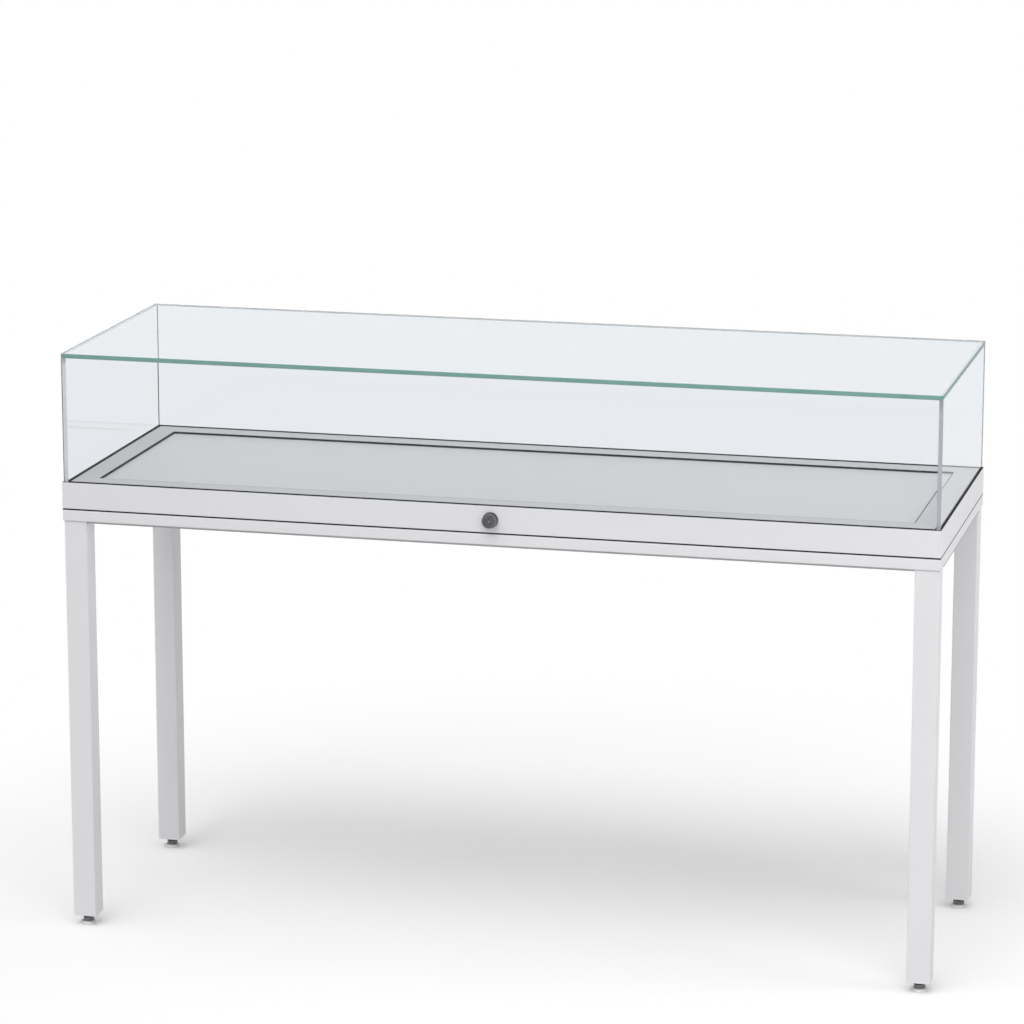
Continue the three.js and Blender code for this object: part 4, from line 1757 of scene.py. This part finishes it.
    def strike(self) -> bpy.types.Object:
        """The strike: a foot on the rail, an upright, and a lip towards the cam.

        Returns:
            The new piece.
        """
        low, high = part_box("strike")
        sheet = self.strike_sheet
        upright = high.y - sheet
        piece = block("strike_sheet", (low.x, upright, low.z), high)
        front = flat_at(Axis.Y, upright)
        folded(piece, front, low.z, sheet, (0, -self.strike_foot, 0))
        folded(piece, front, high.z, -sheet, (0, -self.strike_lip, 0))
        return ease_edges(piece, self.coarse)

    def build(self) -> None:
        """Models the lock's pieces and the strike and dresses them."""
        nickel, zinc = self.finishes.nickel, self.finishes.zinc
        self.dress(self.body(), "hood", Slot.NICKEL, nickel, ["lock_body"])
        self.dress(self.nut(), "hood", Slot.ZINC, zinc, ["lock_nut"])
        turning = body_of("lock_plug")
        self.dress(self.plug(), turning, Slot.NICKEL, nickel, ["lock_plug"])
        self.dress(self.key_shutter(), turning, Slot.ZINC, zinc)
        self.dress(self.cam(), turning, Slot.ZINC, zinc, ["lock_cam"])
        self.dress(self.cam_screw(), turning, Slot.ZINC, zinc, ["lock_cam_screw"])
        self.dress(self.strike(), "table", Slot.ZINC, zinc, ["strike"])


# ---- Hinges ----


@dataclass
class Hinges(SubAssembly):
    """Two butt hinges along the rear: each has two leaves, a pin and six countersunk screws."""

    knuckle: float = 4.75 * MM
    bore: float = 2.6 * MM
    leaf: float = 2.5 * MM
    rounding: float = 0.3 * MM
    play: float = 0.5 * MM
    middle_half: float = 19.75 * MM
    end_start: float = 20.25 * MM
    screw_spread: float = 38 * MM
    screw_lower_rise: float = 5.6 * MM
    screw_upper_rise: float = 22 * MM
    head_radius: float = 4.5 * MM
    head_rim: float = 0.2 * MM
    shank: float = 2.4 * MM
    screw_length: float = 8 * MM
    slot_width: float = 0.9 * MM
    slot_reach: float = 2.5 * MM
    slot_depth: float = 1.3 * MM
    # The pin's domed ends: how far in and how wide, as a share of its radius.
    dome: tuple[Span, ...] = ((0.0, 0.6), (0.4 * MM, 0.9), (0.9 * MM, 1.0))

    def screw(self) -> bpy.types.Object:
        """A countersunk screw with a cross recess, its face at height zero.

        Returns:
            The new piece.
        """
        profile = [
            (self.head_radius, 0),
            (self.head_radius, -self.head_rim),
            (self.shank, -self.head_rim - self.head_radius + self.shank),
            (self.shank, -self.screw_length),
        ]
        piece = turned("screw", profile, ROUND_SIDES)
        across, reach = self.slot_width / 2, self.slot_reach
        for x, y in ((reach, across), (across, reach)):
            cut_away(piece, block("slot", (-x, -y, -self.slot_depth), (x, y, self.slot_depth)))
        return shade(piece, SHARP_FINE)

    def leaf_piece(self, node: str, up: bool) -> bpy.types.Object:
        """One leaf: a plate whose knuckles go round the pin, with countersunk holes.

        Args:
            node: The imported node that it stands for.
            up: Whether the leaf stands up from the pin.

        Returns:
            The new piece.
        """
        low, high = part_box(node)
        axis = middle_of(node.replace("upper_leaf", "pin").replace("lower_leaf", "pin"))
        clear = (self.knuckle + self.play) * (1 if up else -1)
        near = axis.z + clear
        plate_low = (low.x, low.y, near if up else low.z)
        plate_high = (high.x, low.y + self.leaf, high.z if up else near)
        piece = block(f"{node}_plate", plate_low, plate_high)
        edge = self.middle_half if up else self.end_start
        for side in (-1, 1):
            sliced(piece, Axis.X, axis.x + side * edge)
        foot = flat_at(Axis.Z, near)

        def under_knuckle(points: Sequence[Vector]) -> bool:
            """Accepts the faces that run on to the knuckles."""
            inside = all(abs(p.x - axis.x) < edge + TOUCHING for p in points)
            return foot(points) and inside is up

        pull(piece, under_knuckle, (0, 0, -clear))
        ease_edges(piece, self.rounding, steps=2)
        head, shank = self.head_radius + self.play / 2, self.shank + self.play / 2
        cone = self.head_radius - self.shank
        hole = [(head, self.leaf), (head, 0), (shank, -cone), (shank, -2 * self.leaf)]
        for at in self.screw_places(node, up):
            cut_away(piece, place(turned("cutter", hole, ROUND_SIDES), at, BACKWARDS))
        shade(piece)
        spans = [(-edge, edge)] if up else [(low.x - axis.x, -edge), (edge, high.x - axis.x)]
        knuckles = [self.knuckle_piece(start, end, axis) for start, end in spans]
        return merged(f"{node}_plate", [piece, *knuckles])

    def knuckle_piece(self, start: float, end: float, axis: Vector) -> bpy.types.Object:
        """One knuckle: a tube round the pin.

        Args:
            start: Its left end, from the middle of the hinge.
            end: Its right end.
            axis: The middle of the pin.

        Returns:
            The new piece.
        """
        profile = [(self.bore, start), (self.knuckle, start), (self.knuckle, end), (self.bore, end)]
        tube = turned("knuckle", profile, ROUND_SIDES, ring=True)
        return ease_edges(place(tube, axis, SIDEWAYS), self.rounding, steps=2)

    def screw_places(self, node: str, up: bool) -> list[Vector]:
        """Where the screws' faces are in one leaf.

        Args:
            node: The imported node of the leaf.
            up: Whether the leaf stands up from the pin.

        Returns:
            The middle of each screw's face, from left to right.
        """
        low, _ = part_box(node)
        rise = self.knuckle + self.screw_upper_rise if up else self.screw_lower_rise
        first = Vector((middle_of(node).x, low.y + self.leaf, low.z + rise))
        return [first + Vector((side * self.screw_spread, 0, 0)) for side in (-1, 0, 1)]

    def pin(self, node: str) -> bpy.types.Object:
        """The pin, with domed ends.

        Args:
            node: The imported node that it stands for.

        Returns:
            The new piece.
        """
        low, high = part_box(node)
        radius, half = (high.z - low.z) / 2, (high.x - low.x) / 2
        dome = [(share * radius, depth - half) for depth, share in self.dome]
        profile = [*dome, *((width, -height) for width, height in reversed(dome))]
        piece = turned(f"{node}_rod", profile, ROUND_SIDES)
        return shade(place(piece, middle_of(node), SIDEWAYS))

    def build(self) -> None:
        """Models one hinge, copies it to the other side and dresses both."""
        first = HANDS[0]
        zinc = self.finishes.zinc
        leaves = {
            "lower": self.leaf_piece(f"hinge_lower_leaf_{first}", up=False),
            "upper": self.leaf_piece(f"hinge_upper_leaf_{first}", up=True),
        }
        pin = self.pin(f"hinge_pin_{first}")
        screw = place(self.screw(), (0, 0, 0), BACKWARDS)
        for hand in HANDS:
            pin_node = f"hinge_pin_{hand}"
            move = Matrix.Translation(middle_of(pin_node) - middle_of(f"hinge_pin_{first}"))
            rod = repeated(pin, f"{pin_node}_rod", move)
            self.dress(rod, "table", Slot.ZINC, zinc, [pin_node])
            for level, leaf in leaves.items():
                node = f"hinge_{level}_leaf_{hand}"
                plate = repeated(leaf, f"{node}_plate", move)
                self.dress(plate, body_of(node), Slot.ZINC, zinc, [node])
                for number, at in enumerate(self.screw_places(node, level == "upper")):
                    name = f"hinge_screw_{level}_{hand}_{number + 1}"
                    fixed = copied(screw, name, Matrix.Translation(at))
                    self.dress(fixed, body_of(node), Slot.ZINC, zinc)
        bpy.data.objects.remove(screw)


# ---- Gas springs ----


@dataclass
class GasSprings(SubAssembly):
    """Two gas springs inside the hood frame, each between a bracket below and one above."""

    # The roundings of the eyes, the pins and the brackets.
    eye_edge: float = 0.4 * MM
    pin_edge: float = 0.5 * MM
    sheet_edge: float = 0.3 * MM
    eye: float = 7 * MM
    eye_hole: float = 4.15 * MM
    eye_half: float = 3 * MM
    eye_overlap: float = 1 * MM
    neck: float = 18 * MM
    neck_half: float = 5.5 * MM
    neck_edge: float = 0.5 * MM
    tube: float = 9 * MM
    tube_length: float = 200 * MM
    wall: float = 2 * MM
    tube_edge: float = 1 * MM
    gland: float = 8 * MM
    gland_edge: float = 1.2 * MM
    rod: float = 4 * MM
    rod_play: float = 0.15 * MM
    piston: float = 6 * MM
    piston_start: float = 1 * MM
    crimp: float = 0.5 * MM
    crimp_width: float = 1 * MM
    sheet: float = 2.5 * MM
    bend: float = 2.4 * MM
    bend_steps: int = 5
    gap: float = 2.5 * MM
    open_gap: float = 0.75 * MM
    pin_inset: float = 9 * MM

    def span(self) -> Vector:
        """The way from the lower pivot to the upper one when the hood is shut."""
        return self.pivot("hood", HANDS[0]) - self.pivot("table", HANDS[0])

    def pivot(self, level: str, hand: str) -> Vector:
        """The middle of a bracket's pin.

        Args:
            level: The body that the bracket stands on.
            hand: The side of the case.

        Returns:
            The place.
        """
        part = "tube" if level == "table" else "rod"
        low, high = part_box(f"gas_spring_{part}_{hand}")
        bracket_low, bracket_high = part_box(f"spring_bracket_{level}_{hand}")
        below = level == "table"
        z = bracket_high.z - self.pin_inset if below else bracket_low.z + self.pin_inset
        return Vector(((low.x + high.x) / 2, (bracket_low.y + bracket_high.y) / 2, z))

    def lean(self) -> Triple:
        """The turn that takes a shape drawn up the Z axis on to the spring's axis."""
        way = self.span()
        return (math.atan2(way.z, way.y) - math.pi / 2, 0, 0)

    def eye_piece(self, at: float) -> bpy.types.Object:
        """An eye for a pin, some way up the Z axis.

        Args:
            at: The height of its middle.

        Returns:
            The new piece.
        """
        inner, outer, half = self.eye_hole, self.eye, self.eye_half
        profile = [(inner, -half), (outer, -half), (outer, half), (inner, half)]
        piece = turned("eye", profile, ROUND_SIDES, ring=True)
        return ease_edges(place(piece, (0, 0, at), SIDEWAYS), self.eye_edge, steps=2)

    def tube_piece(self, node: str) -> bpy.types.Object:
        """The lacquered tube with its eye, its neck and its crimped gland.

        Args:
            node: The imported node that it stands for.

        Returns:
            The new piece.
        """
        start, end = self.neck, self.neck + self.tube_length
        outer, inner, slide = self.tube, self.tube - self.wall, self.rod + self.rod_play
        crimp, groove = end - self.gland, self.tube - self.crimp
        profile = [
            (inner, start + self.wall),
            (inner, crimp),
            (slide, crimp),
            (slide, end),
            (outer - self.gland_edge, end),
            (outer, end - self.gland_edge),
            (outer, crimp + self.crimp_width),
            (groove, crimp),
            (groove, crimp - self.crimp_width),
            (outer, crimp - 2 * self.crimp_width),
            (outer, start + self.tube_edge),
            (outer - self.tube_edge, start),
        ]
        shell = shade(turned(f"{node}_shell", profile, ROUND_SIDES), SHARP_FINE)
        half, side = self.eye_half, self.neck_half
        neck = block("neck", (-half, -side, side), (half, side, start + self.wall / 2))
        ease_edges(neck, self.neck_edge, steps=2)
        whole = merged(f"{node}_shell", [shell, self.eye_piece(0), neck])
        return place(whole, self.pivot("table", HANDS[0]), self.lean())

    def rod_piece(self, node: str) -> bpy.types.Object:
        """The chromed rod with its piston and its eye.

        Args:
            node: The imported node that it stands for.

        Returns:
            The new piece.
        """
        start = self.neck + self.wall + self.piston_start
        head = self.tube - self.wall - self.rod_play
        end = self.span().length
        profile = [
            (head, start),
            (head, start + self.piston),
            (self.rod, start + self.piston),
            (self.rod, end - self.eye + self.eye_overlap),
        ]
        bar = shade(turned(f"{node}_bar", profile, ROUND_SIDES))
        whole = merged(f"{node}_bar", [bar, self.eye_piece(end)])
        return place(whole, self.pivot("table", HANDS[0]), self.lean())

    def bracket(self, level: str) -> bpy.types.Object:
        """One bracket: a folded sheet with the pin for the eye.

        Args:
            level: The body that it stands on.

        Returns:
            The new piece.
        """
        hand = HANDS[1]
        node = f"spring_bracket_{level}_{hand}"
        low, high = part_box(node)
        pivot = self.pivot(level, hand)
        below = level == "table"
        plate = high.x - self.sheet
        piece = block(f"{node}_sheet", (plate, low.y, low.z), high)
        foot, sheet = (low.z, self.sheet) if below else (high.z, -self.sheet)
        folded(piece, flat_at(Axis.X, plate), foot, sheet, (low.x - plate, 0, 0))
        corner = flat_at(Axis.Z, foot)
        outer = flat_at(Axis.X, high.x)
        with editing(piece, "EDGE", lambda points: corner(points) and outer(points)):
            bpy.ops.mesh.bevel(offset=self.bend, segments=self.bend_steps, affect="EDGES")
        ease_edges(piece, self.sheet_edge, steps=2)
        reach = -self.eye_half - FIT if below else self.eye_half + self.open_gap
        profile = [
            (self.rod - self.pin_edge, reach),
            (self.rod, reach + self.pin_edge),
            (self.rod, self.eye_half + self.gap + self.sheet / 2),
        ]
        pin = place(turned("pin", profile, ROUND_SIDES), pivot, SIDEWAYS)
        return merged(f"{node}_sheet", [piece, shade(pin)])

    def build(self) -> None:
        """Models one spring and its brackets, copies them to the other side and dresses all."""
        left, right = HANDS
        move = Matrix.Translation(self.pivot("table", right) - self.pivot("table", left))
        tube = self.tube_piece(f"gas_spring_tube_{left}")
        rod = self.rod_piece(f"gas_spring_rod_{left}")
        for hand in HANDS:
            for piece, part, slot, finish, end in (
                (tube, "tube", Slot.LACQUER, self.finishes.lacquer, "shell"),
                (rod, "rod", Slot.CHROME, self.finishes.chrome, "bar"),
            ):
                node = f"gas_spring_{part}_{hand}"
                own = repeated(piece, f"{node}_{end}", move)
                self.dress(own, body_of(node), slot, finish, [node])
        for level in ("table", "hood"):
            sheet = self.bracket(level)
            about = Matrix.Translation(self.pivot(level, left)) @ Matrix.Rotation(math.pi, 4, "Z")
            turn = about @ Matrix.Translation(-self.pivot(level, right))
            node = f"spring_bracket_{level}_{left}"
            other = copied(sheet, f"{node}_sheet", turn)
            zinc = self.finishes.zinc
            self.dress(sheet, level, Slot.ZINC, zinc, [f"spring_bracket_{level}_{right}"])
            self.dress(other, level, Slot.ZINC, zinc, [node])


# ---- Studio ----


class LampKind(Enum):
    """The two kinds of lamp in the studio."""

    PANEL = "AREA"
    SKY = "SUN"


@dataclass(frozen=True)
class Lamp:
    """A soft lamp.

    Attributes:
        name: Its name.
        kind: A panel near the case, or a distant light that covers a wide patch of sky.
        at: Where it hangs.
        aim: What it points at.
        size: A panel's width and height in metres, or a sky light's width in degrees, twice.
        power: A panel's watts, or a sky light's strength.
    """

    name: str
    kind: LampKind
    at: Triple
    aim: Triple
    size: tuple[float, float]
    power: float

    def hang(self) -> None:
        """Adds the lamp to the scene."""
        data = bpy.data.lights.new(self.name, self.kind.value)
        data.energy = self.power
        if self.kind is LampKind.PANEL:
            data.shape = "RECTANGLE"
            data.size, data.size_y = self.size
        else:
            data.angle = math.radians(self.size[0])
        lamp = bpy.data.objects.new(self.name, data)
        bpy.context.scene.collection.objects.link(lamp)
        lamp.location = self.at
        way = Vector(self.aim) - Vector(self.at)
        lamp.rotation_euler = way.to_track_quat("-Z", "Y").to_euler()
        lamp.visible_camera = False
        lamp.visible_glossy = False
        lamp.visible_transmission = False


@dataclass(frozen=True)
class Studio:
    """A white floor and backdrop, soft lamps and the camera of the photograph."""

    floor_half: float = 60.0
    floor_drop: float = 0.2 * MM
    floor_white: str = "D6D6D6"
    floor_bounce: str = "C4C4C4"
    # A glow that only eyes and mirrors see, in place of light that the studio's walls would add.
    floor_lift: float = 0.25
    fade: tuple[float, float] = (1.0, 1.6)
    fade_middle: Triple = (0.1, 0.1, 0.0)
    ambient: str = "FFFFFF"
    ambient_strength: float = 0.05
    # The camera's place and angle as solved from the edges in the photograph: its picture's
    # width in pixels, its sensor's in millimetres, its focal length in pixels.
    picture: float = 1024.0
    sensor: float = 36.0
    focal_pixels: float = 4203.6
    camera_at: Triple = (1.6796, -6.812, 2.3339)
    camera_yaw: float = 14.051
    camera_pitch: float = -12.928
    lamps: tuple[Lamp, ...] = (
        Lamp("sky_front", LampKind.SKY, (0, -0.55, 1), (0, 0, 0), (30, 30), 0.72),
        Lamp("sky_left", LampKind.SKY, (-0.3, -0.5, 1), (0, 0, 0), (40, 40), 0.45),
        Lamp("sky_right", LampKind.SKY, (0.3, -0.5, 1), (0, 0, 0), (40, 40), 0.16),
        Lamp("low_left", LampKind.SKY, (-0.5, -1, 0.6), (0, 0, 0), (50, 50), 0.37),
        Lamp("side_left", LampKind.SKY, (-1, -0.3, 0.7), (0, 0, 0), (50, 50), 0.45),
        Lamp("sky_top", LampKind.SKY, (0, -0.1, 1), (0, 0, 0), (70, 70), 1.13),
        Lamp("front_panel", LampKind.PANEL, (2.6, -3.8, 2.9), (0.3, 0, 0.6), (2.4, 2.4), 52),
        Lamp("right_panel", LampKind.PANEL, (4, -0.5, 1.6), (0, 0, 0.5), (1.6, 1.6), 36),
        Lamp("rear_panel", LampKind.PANEL, (0, 4, 0.5), (0, 0, 0.6), (3, 0.8), 38),
    )

    def seen_straight(self, tree: bpy.types.NodeTree) -> Socket:
        """A factor that is 1 for rays from the camera, a mirror or a glass, and 0 for others.

        Args:
            tree: The node tree.

        Returns:
            The factor.
        """
        rays = add_node(tree, "ShaderNodeLightPath").outputs
        seen = rays["Is Camera Ray"]
        for ray in ("Is Glossy Ray", "Is Transmission Ray"):
            either = {0: seen, 1: rays[ray]}
            seen = add_node(tree, "ShaderNodeMath", either, operation="MAXIMUM").outputs[0]
        return seen

    def backdrop(self) -> None:
        """Makes the world: white where it is seen, and softer as a light."""
        world = bpy.data.worlds.new("studio")
        bpy.context.scene.world = world
        world.use_nodes = True
        tree = world.node_tree
        tree.nodes.clear()
        level = add_node(
            tree,
            "ShaderNodeMapRange",
            {"Value": self.seen_straight(tree), "To Min": self.ambient_strength, "To Max": 1.0},
        )
        tone = {"Color": linear(self.ambient), "Strength": level.outputs["Result"]}
        light = add_node(tree, "ShaderNodeBackground", tone)
        add_node(tree, "ShaderNodeOutputWorld", {"Surface": light.outputs["Background"]})

    def floor(self) -> None:
        """Lays the floor, which keeps the case's shadow and fades to white away from it."""
        deselect_all()
        drop = (0, 0, -self.floor_drop)
        bpy.ops.mesh.primitive_plane_add(size=2 * self.floor_half, location=drop)
        floor = bpy.context.object
        floor.name = "studio_floor"
        made = bpy.data.materials.new("painted_studio_floor")
        made.use_nodes = True
        tree = made.node_tree
        tree.nodes.clear()
        seen = self.seen_straight(tree)
        tones = {"Factor": seen, 6: linear(self.floor_bounce), 7: linear(self.floor_white)}
        tone = add_node(tree, "ShaderNodeMix", tones, data_type="RGBA")
        paint = add_node(tree, "ShaderNodeBsdfDiffuse", {"Color": tone.outputs[2]})
        lift = add_node(tree, "ShaderNodeMath", {0: seen, 1: self.floor_lift}, operation="MULTIPLY")
        glow = add_node(tree, "ShaderNodeEmission", {"Strength": lift.outputs[0]})
        lit = add_node(tree, "ShaderNodeAddShader", {0: paint.outputs[0], 1: glow.outputs[0]})
        here = add_node(tree, "ShaderNodeTexCoord").outputs["Object"]
        span = {0: here, 1: self.fade_middle}
        far = add_node(tree, "ShaderNodeVectorMath", span, operation="DISTANCE")
        near, away = self.fade
        fade = add_node(
            tree,
            "ShaderNodeMapRange",
            {"Value": far.outputs["Value"], "From Min": near, "From Max": away},
            interpolation_type="SMOOTHSTEP",
        )
        faded = {0: fade.outputs["Result"], 1: seen}
        share = add_node(tree, "ShaderNodeMath", faded, operation="MULTIPLY")
        white = add_node(tree, "ShaderNodeEmission", {"Strength": 1.0})
        both = {0: share.outputs[0], 1: lit.outputs[0], 2: white.outputs[0]}
        ground = add_node(tree, "ShaderNodeMixShader", both)
        add_node(tree, "ShaderNodeOutputMaterial", {"Surface": ground.outputs[0]})
        floor.data.materials.append(made)

    def camera(self) -> None:
        """Sets up the camera where the photograph was taken from."""
        data = bpy.data.cameras.new("photograph_camera")
        data.sensor_width = self.sensor
        data.lens = self.focal_pixels / self.picture * self.sensor
        camera = bpy.data.objects.new("photograph_camera", data)
        bpy.context.scene.collection.objects.link(camera)
        camera.location = self.camera_at
        level = 90
        tilt, turn = math.radians(level + self.camera_pitch), math.radians(self.camera_yaw)
        camera.rotation_euler = (tilt, 0, turn)
        bpy.context.scene.camera = camera

    def build(self) -> None:
        """Sets up the camera, the floor, the backdrop and the lamps."""
        self.camera()
        self.floor()
        self.backdrop()
        for lamp in self.lamps:
            lamp.hang()
        bpy.context.scene.view_settings.view_transform = "Standard"


def main() -> None:
    """Builds the studio and every sub-assembly."""
    logging.basicConfig(level=logging.INFO, format="%(message)s")
    Studio().build()
    finishes = Finishes()
    groups = (
        Legs,
        LevellingFeet,
        TableFrame,
        Deck,
        HoodFrame,
        GlassHood,
        CamLock,
        Hinges,
        GasSprings,
    )
    for kind in groups:
        group = kind(finishes)
        group.build()
        LOG.info("%s: %d pieces", kind.__name__, len(group.made))


if __name__ == "__main__":
    main()
